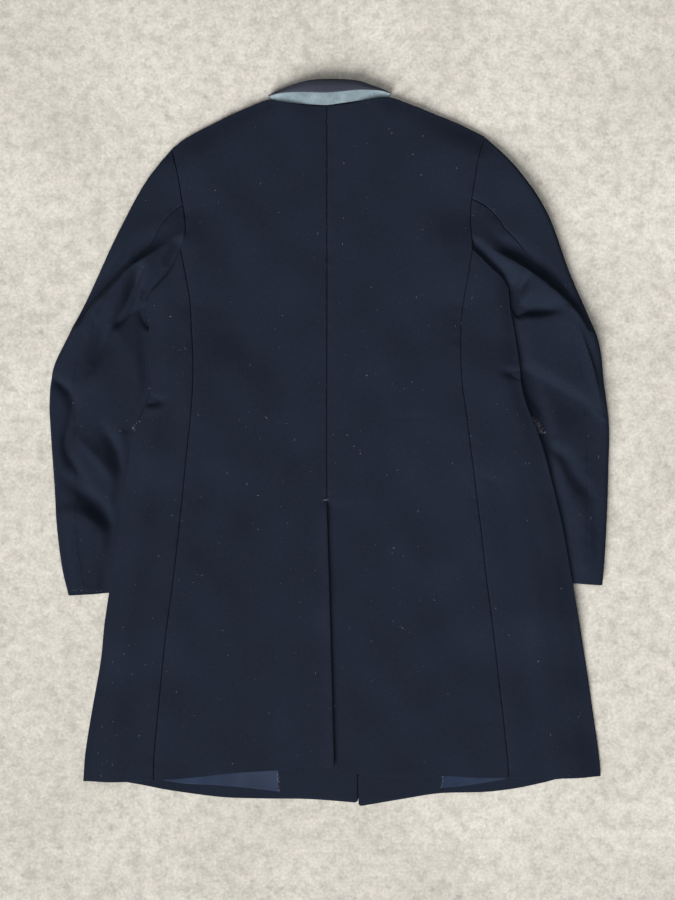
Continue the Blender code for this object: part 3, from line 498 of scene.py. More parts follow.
class Plan:
    """The coat's lines in plan, and the heights of its layers over the floor."""

    def __init__(self):
        self.seam = {s: body_curve(f"seam_{s}", UNDERARM[s][0], SIDE_HEM[s][0]) for s in SIDES}
        self.edge = {s: body_curve(f"edge_{s}", UNDERARM[s][-1], SIDE_HEM[s][-1]) for s in SIDES}
        self.front_seam = {s: body_curve(f"front_{s}", FRONT_ARMHOLE[s][-1], FRONT_HEM[s][0]) for s in SIDES}
        self.outer = {s: Curve(column(SLEEVES[s], "outer_x", "outer_y"), True) for s in SIDES}
        self.inner = {s: Curve(column(SLEEVES[s], "inner_x", "inner_y"), True) for s in SIDES}
        steps = np.linspace(0, 1, OUTLINE_POINTS)
        below = np.array([0, -CUFF_MARGIN])
        self.sleeve_outline = [
            np.vstack([
                self.outer[s].at(steps),
                self.outer[s].at(1) + below,
                self.inner[s].at(1) + below,
                self.inner[s].at(steps[INNER_SKIP:])[::-1],
                FRONT_ARMHOLE[s][-1],
            ])
            for s in SIDES
        ]
        self.body_outline = np.vstack([
            UNDERARM["left"],
            self.edge["left"].at(steps),
            self.edge["right"].at(steps)[::-1],
            UNDERARM["right"][::-1],
        ])
        self.flaps = [np.array(FLAP[s], float) for s in SIDES]
        self.lapels = [np.array(corners[s], float) for corners in (LAPEL, COLLAR_END) for s in SIDES]
        self.shoulders = [Curve(SHOULDER[s]).at(steps) for s in SIDES]
        self.centre = Curve(CENTRE_BACK)

    def sleeve_lift(self, points, ramp):
        """How far what lies on the tucked sleeves is raised by them."""
        away = np.minimum(*[distance_outside(points, outline) for outline in self.sleeve_outline])
        beside_armhole = smooth((points[:, 1] - UNDERARM["left"][0][1]) / ARMHOLE_FADE)
        return SLEEVE_LIFT * smooth(1 - (away - LIFT_MARGIN) / ramp) * (1 - beside_armhole)

    def trim_bottom(self, points):
        """The underside of the flaps and lapels."""
        return self.sleeve_lift(points, LIFT_RAMP_BELOW)

    def trim_lift(self, points, ramp):
        """How far the fronts are raised by the flaps and the lapels."""
        lift = np.zeros(len(points))
        for outlines, height in ((self.flaps, FLAP_LIFT), (self.lapels, LAPEL_LIFT)):
            away = np.min([distance_outside(points, outline) for outline in outlines], axis=0)
            lift = np.maximum(lift, height * smooth(1 - (away - TRIM_MARGIN) / ramp))
        return lift

    def body_bottom(self, points):
        """The fronts' underside, raised over the sleeves, the flaps and the lapels."""
        return self.trim_bottom(points) + self.trim_lift(points, TRIM_RAMP)

    def body_depth(self, points):
        """From the fronts' underside to the back's upper face, over the floor."""
        away = np.min([distance_to_line(points, line) for line in self.shoulders], axis=0)
        depth = SHOULDER_DEPTH + (BODY_DEPTH - SHOULDER_DEPTH) * smooth(away / SHOULDER_RISE)
        for centre in PAD_CENTRES:
            distance = np.linalg.norm(points - centre, axis=1)
            depth += PAD_HEIGHT * smooth(1 - distance / PAD_RADIUS) * smooth(away / PAD_RADIUS * 2)
        return depth

    def body_top(self, points):
        """The back's upper face."""
        lift = self.sleeve_lift(points, LIFT_RAMP_ABOVE) + self.trim_lift(points, TRIM_RAMP_ABOVE)
        relief = crease_heights(points, BODY_CREASES) + RIPPLE_HEIGHT * uneven(points, RIPPLE)
        return lift + self.body_depth(points) + relief

    def centre_x(self, points):
        length = CENTRE_BACK[0][1] - CENTRE_BACK[-1][1]
        return self.centre.at(np.clip((CENTRE_BACK[0][1] - points[:, 1]) / length, 0, 1))[:, 0]

    def vent_lift(self, points):
        """How far the left back is raised where it lies on the right back's underlap."""
        underlap_x = self.centre_x(points) - VENT_UNDERLAP - VENT_MARGIN
        across = smooth(1 - (underlap_x - points[:, 0]) / VENT_RAMP)
        return VENT_LIFT * across * smooth((VENT_TOP + VENT_RISE_START - points[:, 1]) / VENT_RISE)

    def back_top(self, side):
        if side == "left":
            return lambda points: self.body_top(points) + self.vent_lift(points)
        return lambda points: self.body_top(points) + self.beside_vent(points)

    def beside_vent(self, points):
        """How far the right back follows the left back just above the vent."""
        across = smooth(1 - (points[:, 0] - self.centre_x(points)) / VENT_RAMP)
        above = smooth((VENT_TOP + VENT_RISE_START - points[:, 1]) / VENT_RISE)
        return VENT_LIFT * across * above * smooth((points[:, 1] - VENT_TOP + VENT_CLOSE) / VENT_CLOSE)

    def sleeve_top(self, points, from_armhole):
        """A sleeve's upper face: low under the body, free beside it, and level with the body at the armhole."""
        outlines = (self.body_outline, *self.flaps)
        away = np.min([distance_outside(points, outline) for outline in outlines], axis=0)
        relief = crease_heights(points, SLEEVE_CREASES) + RIPPLE_HEIGHT * uneven(points, RIPPLE)
        free = SLEEVE_SHOWN + relief
        shown = free + (self.body_top(points) - free) * smooth(1 - from_armhole)
        level = SLEEVE_HIDDEN + (shown - SLEEVE_HIDDEN) * smooth((away - CLEAR_MARGIN) / CLEAR_RAMP)
        return np.maximum(np.minimum(level, shown), SLEEVE_LOWEST)


def close_steps(width, count, near=True, far=True):
    """Shares across a strip: even, with closer ones at its seams or edges."""
    close = EDGE_STEPS * min(1.0, width / (EDGE_PARTS * EDGE_STEPS[-1])) / width
    start = close if near else close[:1]
    end = 1 - close[::-1] if far else np.array([1.0])
    return np.concatenate([start, np.linspace(start[-1], end[0], count + 1)[1:-1], end])


def even_count(length, coarseness=1.0):
    """How many spaces a length is divided into."""
    return max(LEAST_COUNT, int(round(length / (SPACING * coarseness))))


def spaced(length, coarseness=1.0, near=True, far=True):
    """Shares along a length, closer at its ends."""
    return close_steps(length, even_count(length, coarseness), near, far)


def seam_roll(distance):
    """How far a panel turns down beside a seam."""
    inwards = np.clip(1 - distance / SEAM_ROLL, 0, 1)
    pressed = SEAM_DIP * (1 - smooth(distance / SEAM_DIP_REACH))
    return -SEAM_DROP * (1 - np.sqrt(1 - inwards**2)) - pressed


def edge_fall(distance):
    """How far a side body comes down towards its folded edge."""
    return EDGE_FALL * (1 - smooth(distance / EDGE_FALL_REACH))


def turned_edge(distance, wall):
    """How far each face draws in towards the other at a turned edge."""
    radius = wall * TURN_SHARE
    inwards = np.clip(radius - distance, 0, radius)
    return radius - np.sqrt(radius**2 - inwards**2)


def step_lengths(line):
    """The length of each step of a line of points."""
    return np.linalg.norm(np.diff(line, axis=0), axis=1)


def places_along(line):
    """Each point's share of a line's length."""
    steps = step_lengths(line)
    return np.concatenate([[0.0], np.cumsum(steps)]) / steps.sum()


def outer_line(armhole, seam, coarseness=1.0):
    """Points down an armhole and on down the seam under it."""
    first = armhole.at(spaced(armhole.length, coarseness, far=False))[:-1]
    return np.vstack([first, seam.at(spaced(seam.length, coarseness, near=False))])


def patch(left, right, top, bottom, down, coarseness=1.0, near=True, far=True):
    """Plan rows between two side lines; the first row follows the top curve and the last the bottom curve."""
    widths = np.linalg.norm(right - left, axis=1)
    count = even_count(widths.mean(), coarseness)
    rows = []
    for index, width in enumerate(widths):
        across = close_steps(width, count, near, far)
        chord = left[index] + (right[index] - left[index]) * across[:, None]
        for curve, share in ((top, (1 - down[index]) ** 2), (bottom, down[index] ** 3)):
            line = curve.at(across)
            chord = chord + share * (line - (line[0] + (line[-1] - line[0]) * across[:, None]))
        rows.append(chord)
    return np.array(rows)


def pull_in(rows, gaps):
    """Narrows plan rows by a gap at their first and last columns, and at the first and last row."""
    left, right, top, bottom = gaps
    rows = rows.copy()
    for grid, near, far in ((rows, left, right), (rows.transpose(1, 0, 2), top, bottom)):
        for first, second, gap in ((0, 1, near), (-1, -2, far)):
            along = grid[:, second] - grid[:, first]
            grid[:, first] += along / np.linalg.norm(along, axis=1, keepdims=True) * gap
    return rows


def heights(rows, field):
    """A field's heights over a grid of plan points."""
    return field(rows.reshape(-1, 2)).reshape(rows.shape[:2])


def lay(rows, z):
    """Plan rows and heights joined into a grid of points."""
    return np.dstack([rows, z])


def distances(rows):
    """How far each point of a grid is from its first and last column and from its first and last row."""
    across = np.linalg.norm(np.diff(rows, axis=1), axis=2)
    down = np.linalg.norm(np.diff(rows, axis=0), axis=2)
    from_left = np.hstack([np.zeros((len(rows), 1)), np.cumsum(across, axis=1)])
    from_top = np.vstack([np.zeros((1, rows.shape[1])), np.cumsum(down, axis=0)])
    return from_left, from_left[:, -1:] - from_left, from_top, from_top[-1:] - from_top


def puckers(rows, *beside):
    """Fine unevenness of the cloth beside its seams."""
    nearest = np.min(beside, axis=0)
    relief = PUCKER_HEIGHT * heights(rows, lambda points: uneven(points, PUCKER))
    return relief * np.exp(-((nearest / PUCKER_REACH) ** 2))


def add_object(name, data):
    """A new object in the scene."""
    thing = bpy.data.objects.new(name, data)
    bpy.context.scene.collection.objects.link(thing)
    return thing


def add_shell(name, upper, lower, material):
    """A closed shell between two grids of points, given in millimetres."""
    count_down, count_across = upper.shape[:2]
    size = count_down * count_across
    points = np.vstack([upper.reshape(-1, 3), lower.reshape(-1, 3)]) * MM
    index = np.arange(size).reshape(count_down, count_across)
    corners = (index[:-1, :-1], index[:-1, 1:], index[1:, 1:], index[1:, :-1])
    quads = np.stack(corners, axis=-1).reshape(-1, 4)
    border = np.concatenate([index[0, :-1], index[:-1, -1], index[-1, :0:-1], index[:0:-1, 0]])
    following = np.roll(border, -1)
    sides = np.stack([following, border, border + size, following + size], axis=-1)
    faces = np.vstack([quads, quads[:, ::-1] + size, sides])
    first, second, third = points[faces[:, 0]], points[faces[:, 1]], points[faces[:, 2]]
    if np.einsum("ij,ij->i", first, np.cross(second, third)).sum() < 0:
        faces = faces[:, ::-1]
    mesh = bpy.data.meshes.new(name)
    mesh.from_pydata(points.tolist(), [], faces.tolist())
    mesh.shade_smooth()
    mesh.set_sharp_from_angle(angle=math.radians(SHARP_ANGLE))
    mesh.materials.append(material)
    return add_object(name, mesh)


# The size that each piece was cut to, in metres and square metres, and what it lies on
Cut = namedtuple("Cut", "width length area rests_on")


def add_piece(node, upper, lower, material):
    """A shell with its body, its CAD node and its finish."""
    shell = add_shell(f"shell_{node}", upper, lower, material)
    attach(shell, "root")
    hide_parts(node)
    return shell


def add_plate(node, rows, bottom, turned, wall, material):
    """A flat piece on a given underside, whose faces draw together at its edges."""
    return add_piece(node, lay(rows, bottom + wall - turned), lay(rows, bottom + turned), material)


def build_back(side, plan, material):
    outer = outer_line(Curve(ARMHOLE[side]), plan.seam[side])
    down = places_along(outer)
    centre = plan.centre.at(down)
    hem = BACK_HEM[side]
    if side == "right":
        centre[:, 0] -= VENT_UNDERLAP * (centre[:, 1] < VENT_TOP)
        hem = [(centre[-1, 0], hem[0][1]), *hem]
    top = Curve(NECK[side] + SHOULDER[side][1:])
    rows = pull_in(patch(centre, outer, top, Curve(hem), down), AT_BOTH)
    from_centre, from_outer, from_top, from_hem = distances(rows)
    above_vent = rows[..., 1] > VENT_TOP
    roll = seam_roll(from_outer) + np.where(above_vent, seam_roll(from_centre), 0) + seam_roll(from_top)
    turned = turned_edge(from_hem, WALL) + np.where(above_vent, 0, turned_edge(from_centre, WALL))
    level = heights(rows, plan.back_top(side)) + puckers(rows, from_centre, from_outer)
    if side == "left":
        free = smooth((VENT_TOP - rows[..., 1]) / VENT_CURL_REACH)
        level += free * VENT_CURL * (1 - smooth(from_centre / VENT_CURL_REACH))
        inwards = np.clip(1 - from_centre / VENT_ROLL, 0, 1)
        roll -= free * (VENT_ROLL - turned) * (1 - np.sqrt(1 - inwards**2)) * VENT_ROLL_DROP
    upper = lay(rows, level + roll - turned)
    return add_piece(f"back_{side}", upper, lay(rows, level - WALL + turned), material)


def build_front(side, plan, material):
    outer = outer_line(Curve(FRONT_ARMHOLE[side]), plan.front_seam[side], UNDER_SPACING)
    down = places_along(outer)
    edge = Curve(FRONT_EDGE[side]).at(down)
    shoulder = Curve(SHOULDER[side][::-1])
    rows = patch(outer, edge, shoulder, Curve(FRONT_HEM[side]), down, FRONT_SPACING)
    rows = round_corner(pull_in(rows, AT_FIRST), CORNER_RADIUS[side])
    _, from_edge, _, from_hem = distances(rows)
    turned = turned_edge(np.minimum(from_edge, from_hem), WALL)
    add_plate(f"front_{side}", rows, heights(rows, plan.body_bottom), turned, WALL, material)


def round_corner(rows, radius):
    """Rounds the corner between a grid's last column and its last row."""
    from_right, from_bottom = distances(rows)[1], distances(rows)[3]
    corner = rows[-1, -1]
    along = rows[-1, -2] - corner
    up = rows[-2, -1] - corner
    along /= np.linalg.norm(along)
    up /= np.linalg.norm(up)
    centre = corner + (along + up) * radius
    across = np.clip(1 - from_right / radius, 0, 1)
    down = np.clip(1 - from_bottom / radius, 0, 1)
    reach = np.hypot(across, down)
    inside = (across > 0) & (down > 0)
    scale = np.maximum(across, down) / np.where(inside, reach, 1)
    moved = centre - (along * (across * scale)[..., None] + up * (down * scale)[..., None]) * radius
    return np.where(inside[..., None], moved, rows)


def wrapped(upper_rows, lower_rows, upper_z, lower_z, wall):
    """Points and inner points of rows that run over the top, round an edge and back underneath."""
    outside = []
    inside = []
    for upper, lower, high, low in zip(upper_rows, lower_rows, upper_z, lower_z):
        radius = (high[-1] - low[0]) / 2
        middle = (high[-1] + low[0]) / 2
        edge = upper[-1]
        outward = edge - upper[-2]
        outward = outward / np.linalg.norm(outward)
        centre = edge - outward * radius
        flat_top = slide_clear(upper, centre, outward, radius)
        flat_bottom = slide_clear(lower, centre, outward, radius)
        out_row = [(*point, z) for point, z in zip(flat_top, high)]
        in_row = [(*point, z - wall) for point, z in zip(flat_top, high)]
        for step in range(1, ARC_STEPS):
            angle = math.pi * step / ARC_STEPS
            for row, reach in ((out_row, radius), (in_row, max(radius - wall, LEAST_RADIUS))):
                place = centre + outward * reach * math.sin(angle)
                row.append((*place, middle + reach * math.cos(angle)))
        out_row += [(*point, z) for point, z in zip(flat_bottom, low)]
        in_row += [(*point, z + wall) for point, z in zip(flat_bottom, low)]
        outside.append(out_row)
        inside.append(in_row)
    return np.array(outside), np.array(inside)


def slide_clear(row, centre, outward, radius):
    """A row whose last points are drawn back so that it ends at the half round's centre."""
    past = (row - centre) @ outward
    drawn = smooth((past + SLIDE_REACH * radius) / ((SLIDE_REACH + 1) * radius))
    return row - outward * (radius * drawn)[:, None]


def add_wrapped(node, upper, lower, high, low, wall, material):
    """A piece that runs over the top, round an edge and back underneath."""
    outside, inside = wrapped(upper, lower, high, low, wall)
    turn_hem(outside, inside, wall)
    return add_piece(node, outside, inside, material)


def build_side(side, plan, material):
    down = spaced(plan.edge[side].length)
    seam, edge, front = (lines[side].at(down) for lines in (plan.seam, plan.edge, plan.front_seam))
    top, hem = Curve(UNDERARM[side]), Curve(SIDE_HEM[side])
    top_below, hem_below = Curve(UNDERARM_FRONT[side]), Curve(SIDE_FRONT_HEM[side])
    upper = pull_in(patch(seam, edge, top, hem, down, far=False), AT_FIRST)
    lower = pull_in(patch(edge, front, top_below, hem_below, down, UNDER_SPACING, near=False), AT_LAST)
    from_seam, from_edge, from_top, _ = distances(upper)
    level = heights(upper, plan.body_top) + puckers(upper, from_seam)
    high = level + seam_roll(from_seam) + seam_roll(from_top) - edge_fall(from_edge)
    low = heights(lower, plan.body_bottom)
    return add_wrapped(f"side_{side}", upper, lower, high, low, WALL, material)


def turn_hem(outside, inside, wall):
    """Draws the two faces of a wrapped shell together at its last rows."""
    steps = np.linalg.norm(np.diff(outside, axis=0), axis=2)
    to_end = np.vstack([np.cumsum(steps[::-1], axis=0)[::-1], np.zeros((1, outside.shape[1]))])
    share = (turned_edge(to_end, wall) / wall)[..., None]
    between = inside - outside
    outside += between * share
    inside -= between * share


def along_line(line, share):
    """Points at shares of a line's length."""
    places = places_along(line)
    return np.column_stack([np.interp(share, places, line[:, axis]) for axis in (0, 1)])


def build_sleeve(side, plan, material):
    even = np.linspace(0, 1, OUTLINE_POINTS)
    down = spaced(plan.outer[side].length, SLEEVE_SPACING)
    over = np.vstack([Curve(ARMHOLE[side]).at(even), Curve(UNDERARM[side]).at(even)[1:]])
    under = np.vstack([Curve(FRONT_ARMHOLE[side]).at(even), Curve(UNDERARM_FRONT[side]).at(even)[::-1][1:]])
    over_outer, over_inner = sleeve_rows(
        plan, side, down, over, HIND_SHARE, ARMHOLE[side], "hind", SLEEVE_SPACING
    )
    under_outer, under_inner = sleeve_rows(
        plan, side, down, under, FORE_SHARE, FRONT_ARMHOLE[side], "fore", UNDER_SPACING
    )
    pieces = {
        "top_sleeve": (pull_in(over_outer[:, ::-1], AT_FIRST), pull_in(under_outer, AT_LAST)),
        "under_sleeve": (pull_in(over_inner, AT_FIRST), pull_in(under_inner[:, ::-1], AT_LAST)),
    }
    from_armhole = down / ARMHOLE_BLEND
    seam_shown = (1 - smooth((down - HIND_SHOWN) / HIND_FADE))[:, None]
    shells = []
    for name, (upper, lower) in pieces.items():
        level = np.array([plan.sleeve_top(row, place) for row, place in zip(upper, from_armhole)])
        from_seam, _, from_ring, _ = distances(upper)
        level += puckers(upper, from_seam, from_ring)
        high = level + seam_roll(from_seam) * seam_shown + seam_roll(from_ring)
        low = np.zeros(lower.shape[:2])
        shells.append(add_wrapped(f"{name}_{side}", upper, lower, high, low, SLEEVE_WALL, material))
    return shells


def sleeve_rows(plan, side, down, ring, seam_share, armhole, seam, coarseness):
    """Plan rows over or under a sleeve, in two parts: outer edge to seam, and seam to inner edge."""
    outer = plan.outer[side].at(down)
    inner = plan.inner[side].at(down)
    table = SLEEVES[side]
    seam_place = np.interp(down, np.linspace(0, 1, len(table)), [getattr(row, seam) for row in table])
    ring_seam = seam_share * Curve(armhole).length / step_lengths(ring).sum()
    widths = np.linalg.norm(inner - outer, axis=1)
    outer_count = even_count((widths * seam_place).mean(), coarseness)
    inner_count = even_count((widths * (1 - seam_place)).mean(), coarseness)
    outer_part, inner_part = [], []
    for index, share in enumerate(down):
        fade = (1 - share) ** BOW_FADE
        seam_at = ring_seam + (seam_place[index] - ring_seam) * (1 - fade)
        seam_width = max(widths[index] * seam_at, LEAST_WIDTH)
        rest_width = max(widths[index] * (1 - seam_at), LEAST_WIDTH)
        outer_share = close_steps(seam_width, outer_count, False, True)
        inner_share = close_steps(rest_width, inner_count, True, False)
        for part, across, ring_share in (
            (outer_part, outer_share * seam_at, outer_share * ring_seam),
            (inner_part, seam_at + inner_share * (1 - seam_at), ring_seam + inner_share * (1 - ring_seam)),
        ):
            bow = along_line(ring, ring_share) - (ring[0] + (ring[-1] - ring[0]) * ring_share[:, None])
            row = outer[index] + (inner[index] - outer[index]) * across[:, None] + fade * bow
            if index == 0:
                row = away_from_body(row, side)
            part.append(row)
    return np.array(outer_part), np.array(inner_part)


def away_from_body(line, side):
    """The armhole seam moved outwards by the seam gap."""
    along = np.gradient(line, axis=0)
    along /= np.linalg.norm(along, axis=1, keepdims=True)
    outward = np.column_stack([along[:, 1], -along[:, 0]])
    return line + outward * SEAM_GAP * (1 if side == "left" else -1)


def build_trim(node, corners, plan, material):
    """A flap, a lapel or a collar end: a flat piece with four corners, under the front."""
    corners = np.array(corners, float)
    places = close_steps(STRIP_WIDTH, TRIM_COUNT)
    left = corners[0] + (corners[3] - corners[0]) * places[:, None]
    right = corners[1] + (corners[2] - corners[1]) * places[:, None]
    rows = left[:, None] + (right - left)[:, None] * places[None, :, None]
    turned = turned_edge(np.min(distances(rows), axis=0), TRIM_WALL)
    return add_plate(node, rows, heights(rows, plan.trim_bottom), turned, TRIM_WALL, material)


def build_band(node, span, hem, plan, wall, material):
    """A piece that lies inside a front near its hem, between two lines down the coat."""
    left, right = span
    across = spaced(right - left, BAND_SPACING)
    bottom_line = Curve(hem).at(across)
    top_line = np.column_stack([left + (right - left) * across, np.full(len(across), LINING_TOP)])
    down = close_steps(BAND_HEIGHT, BAND_COUNT)
    rows = top_line + (bottom_line - top_line) * down[:, None, None]
    from_left, from_right, _, from_hem = distances(rows)
    turned = turned_edge(np.min([from_left, from_right, from_hem], axis=0), wall)
    bottom = heights(rows, plan.body_bottom) + WALL + SEAM_GAP
    return add_plate(node, rows, bottom, turned, wall, material)


def build_collar(node, profile, wall, material):
    """A collar layer: one profile across the collar, drawn along the neck and shrunk to its ends."""
    path = Curve(column(profile, "out", "height")).at(close_steps(STRIP_WIDTH, COLLAR_ACROSS))
    tangent = np.gradient(path, axis=0)
    tangent /= np.linalg.norm(tangent, axis=1, keepdims=True)
    normal = np.column_stack([-tangent[:, 1], tangent[:, 0]])
    along = np.concatenate([[0.0], np.cumsum(step_lengths(path))])
    half = wall / 2 - turned_edge(along[-1] - along, wall)
    places = np.linspace(0, 1, COLLAR_ALONG)
    neck = Curve(column(COLLAR, "neck_x", "neck_y")).at(places)
    roll = Curve(column(COLLAR, "roll_x", "roll_y")).at(places)
    surfaces = []
    for face in (-1, 1):
        outs, levels = (path + normal * (half * face)[:, None]).T
        turned_over = (along > along[-1] / 2) & (outs < COLLAR_TURN_OUT)
        surface = []
        for place, start, end in zip(places, neck, roll):
            outward = (end - start) / COLLAR_DEPTH
            size = np.linalg.norm(end - start) / COLLAR_DEPTH
            lift = COLLAR_END_LIFT + (1 - COLLAR_END_LIFT) * size
            narrowing = abs(2 * place - 1) ** COLLAR_TURN_FADE
            narrowed = np.where(turned_over, outs + (COLLAR_TURN_OUT - outs) * narrowing, outs)
            surface.append([(*(start + outward * out), level * lift) for out, level in zip(narrowed, levels)])
        surfaces.append(np.array(surface))
    return add_piece(node, surfaces[0], surfaces[1], material)


def new_material(name):
    """A node material, its shader and its tree."""
    material = bpy.data.materials.new(name)
    material.use_nodes = True
    tree = material.node_tree
    return material, tree.nodes["Principled BSDF"], tree


def set_values(node, values):
    for name, value in values.items():
        node.inputs[name].default_value = value


def noise(tree, scale, detail, roughness=0.5, stretch=(1, 1, 1)):
    """Noise in metres on the piece."""
    place = tree.nodes.new("ShaderNodeTexCoord")
    mapping = tree.nodes.new("ShaderNodeMapping")
    texture = tree.nodes.new("ShaderNodeTexNoise")
    set_values(mapping, {"Scale": stretch})
    set_values(texture, {"Scale": scale, "Detail": detail, "Roughness": roughness})
    tree.links.new(place.outputs["Object"], mapping.inputs["Vector"])
    tree.links.new(mapping.outputs["Vector"], texture.inputs["Vector"])
    return texture.outputs["Fac"]


def ramp(tree, value, stops):
    """Colours along a value, or greys where the stops give numbers."""
    node = tree.nodes.new("ShaderNodeValToRGB")
    elements = node.color_ramp.elements
    colours = [(place, (tone,) * 3 if isinstance(tone, float) else tone) for place, tone in stops]
    for element, (place, colour) in ((elements[0], colours[0]), (elements[1], colours[-1])):
        element.position, element.color = place, (*colour, 1)
    for place, colour in colours[1:-1]:
        elements.new(place).color = (*colour, 1)
    tree.links.new(value, node.inputs["Fac"])
    return node.outputs["Color"]


def shaded(colour, factor):
    return tuple(level * factor for level in colour)


def clouded(tree, colour, scale, detail, *stops):
    """A colour in soft clouds: each stop is a place in the noise and the colour's share there."""
    return ramp(tree, noise(tree, scale, detail), [(place, shaded(colour, share)) for place, share in stops])


def multiplied(tree, first, second):
    """The product of two colours, by the mix node's colour sockets."""
    node = tree.nodes.new("ShaderNodeMix")
    node.data_type = "RGBA"
    node.blend_type = "MULTIPLY"
    node.inputs[0].default_value = 1.0
    tree.links.new(first, node.inputs[6])
    tree.links.new(second, node.inputs[7])
    return node.outputs[2]


def bump(tree, shader, height, strength, distance, after=None):
    """Fine relief, over that of another bump where one is given."""
    node = tree.nodes.new("ShaderNodeBump")
    set_values(node, {"Strength": strength, "Distance": distance})
    tree.links.new(height, node.inputs["Height"])
    if after is not None:
        tree.links.new(after, node.inputs["Normal"])
    tree.links.new(node.outputs["Normal"], shader.inputs["Normal"])
    return node.outputs["Normal"]


def wool(name, colour, sheen):
    """Milled wool: a matt, finely napped cloth with faint clouding."""
    material, shader, tree = new_material(name)
    cloud = clouded(tree, colour, 14.0, 3.0, (0.35, 0.95), (0.65, 1.05))
    grain = ramp(tree, noise(tree, 520.0, 4.0, 0.7), [(0.3, (0.8, 0.8, 0.82)), (0.7, (1.2, 1.2, 1.18))])
    tree.links.new(multiplied(tree, cloud, grain), shader.inputs["Base Color"])
    rough = ramp(tree, noise(tree, 300.0, 2.0), [(0.3, 0.86), (0.7, 0.98)])
    tree.links.new(rough, shader.inputs["Roughness"])
    set_values(shader, {"IOR": 1.12, "Specular IOR Level": 0.3})
    set_values(shader, {"Sheen Weight": sheen, "Sheen Roughness": 0.45, "Sheen Tint": (0.62, 0.74, 1.0, 1)})
    fibres = bump(tree, shader, noise(tree, 900.0, 5.0, 0.75), 0.5, 0.0006)
    bump(tree, shader, noise(tree, 180.0, 3.0, 0.6, (1, 0.5, 1)), 0.25, 0.0010, fibres)
    return material


def felt(name, colour):
    """Undercollar felt: pressed fibres, uneven in tone."""
    material, shader, tree = new_material(name)
    cloud = clouded(tree, colour, 70.0, 4.0, (0.3, 0.8), (0.7, 1.15))
    lie = noise(tree, 700.0, 4.0, 0.8, (1, 0.25, 1))
    fibre = ramp(tree, lie, [(0.3, (0.75, 0.76, 0.78)), (0.7, 1.2)])
    tree.links.new(multiplied(tree, cloud, fibre), shader.inputs["Base Color"])
    set_values(shader, {"Roughness": 0.95, "Specular IOR Level": 0.2, "Sheen Weight": 0.1})
    bump(tree, shader, noise(tree, 800.0, 4.0, 0.8, (1, 0.3, 1)), 0.6, 0.0006)
    return material


def satin(name, colour):
    """Lining satin: a soft lustre with fine threads."""
    material, shader, tree = new_material(name)
    cloud = clouded(tree, colour, 24.0, 3.0, (0.35, 0.8), (0.65, 1.2))
    tree.links.new(cloud, shader.inputs["Base Color"])
    threads = noise(tree, 900.0, 2.0, 0.5, (1, 0.1, 1))
    tree.links.new(ramp(tree, threads, [(0.3, 0.5), (0.7, 0.64)]), shader.inputs["Roughness"])
    set_values(shader, {"Specular IOR Level": 0.12, "Anisotropic": 0.4})
    bump(tree, shader, threads, 0.2, 0.0003)
    return material


def thread(name, colour):
    """Pale fibres and stitches."""
    material, shader, tree = new_material(name)
    tone = clouded(tree, colour, 90.0, 2.0, (0.3, 0.55), (0.7, 1.2))
    tree.links.new(tone, shader.inputs["Base Color"])
    set_values(shader, {"Roughness": 0.8})
    return material


def floor_material():
    """Pale concrete: broad clouds, soft blotches, fine grit and darker spots."""
    material, shader, tree = new_material("pale_floor")
    colour = ramp(
        tree, noise(tree, 5.0, 5.0, 0.6),
        [(0.3, (0.53, 0.51, 0.455)), (0.5, (0.60, 0.575, 0.52)), (0.7, (0.66, 0.64, 0.585))],
    )
    for scale, detail, roughness, stops in (
        (55.0, 7.0, 0.72, [(0.38, 0.84), (0.5, 1.0), (0.62, 1.1)]),
        (240.0, 4.0, 0.75, [(0.34, 0.86), (0.66, 1.12)]),
        (75.0, 2.0, 0.4, [(0.28, 0.86), (0.34, 1.0)]),
    ):
        colour = multiplied(tree, colour, ramp(tree, noise(tree, scale, detail, roughness), stops))
    tree.links.new(colour, shader.inputs["Base Color"])
    set_values(shader, {"Roughness": 0.85, "Specular IOR Level": 0.2})
    bump(tree, shader, noise(tree, 160.0, 4.0, 0.6), 0.15, 0.0008)
    return material


FLOOR_REACH = 4.0
FLOOR_DEPTH = -0.0006


def add_floor():
    mesh = bpy.data.meshes.new("floor")
    corners = [(x * FLOOR_REACH, y * FLOOR_REACH, FLOOR_DEPTH) for x, y in ((-1, -1), (1, -1), (1, 1), (-1, 1))]
    mesh.from_pydata(corners, [], [(0, 1, 2, 3)])
    mesh.materials.append(floor_material())
    add_object("floor", mesh)


# Ribbons for lint and stitches, in metres where a height is meant
RIBBON_WIDTHS = (0.6, 1.2)  # shares of the width
RIBBON_LIFT = 0.25 * MM  # over the cloth
RIBBON_TIP = 0.6  # distance past a ribbon's ends, in steps, at which it would taper to nothing
RAY_HEIGHT = 0.2
NO_CLOTH = -1.0

# Lint and hairs on the cloth
LINT_COUNT = 520
LINT_LENGTH = (0.8, 5.0)
LINT_SHORTEST = 0.2  # share of that length
LINT_TURN = 2.2  # how far a fibre turns along its length, in radians
LINT_WIDTH = 0.3
LINT_POINTS = 5
LINT_SPREAD = (0.375, 0.48)  # of the part of the floor on which it falls, in metres
LINT_STEP = 1.0 * MM  # a fibre doesn't lie across a step higher than this


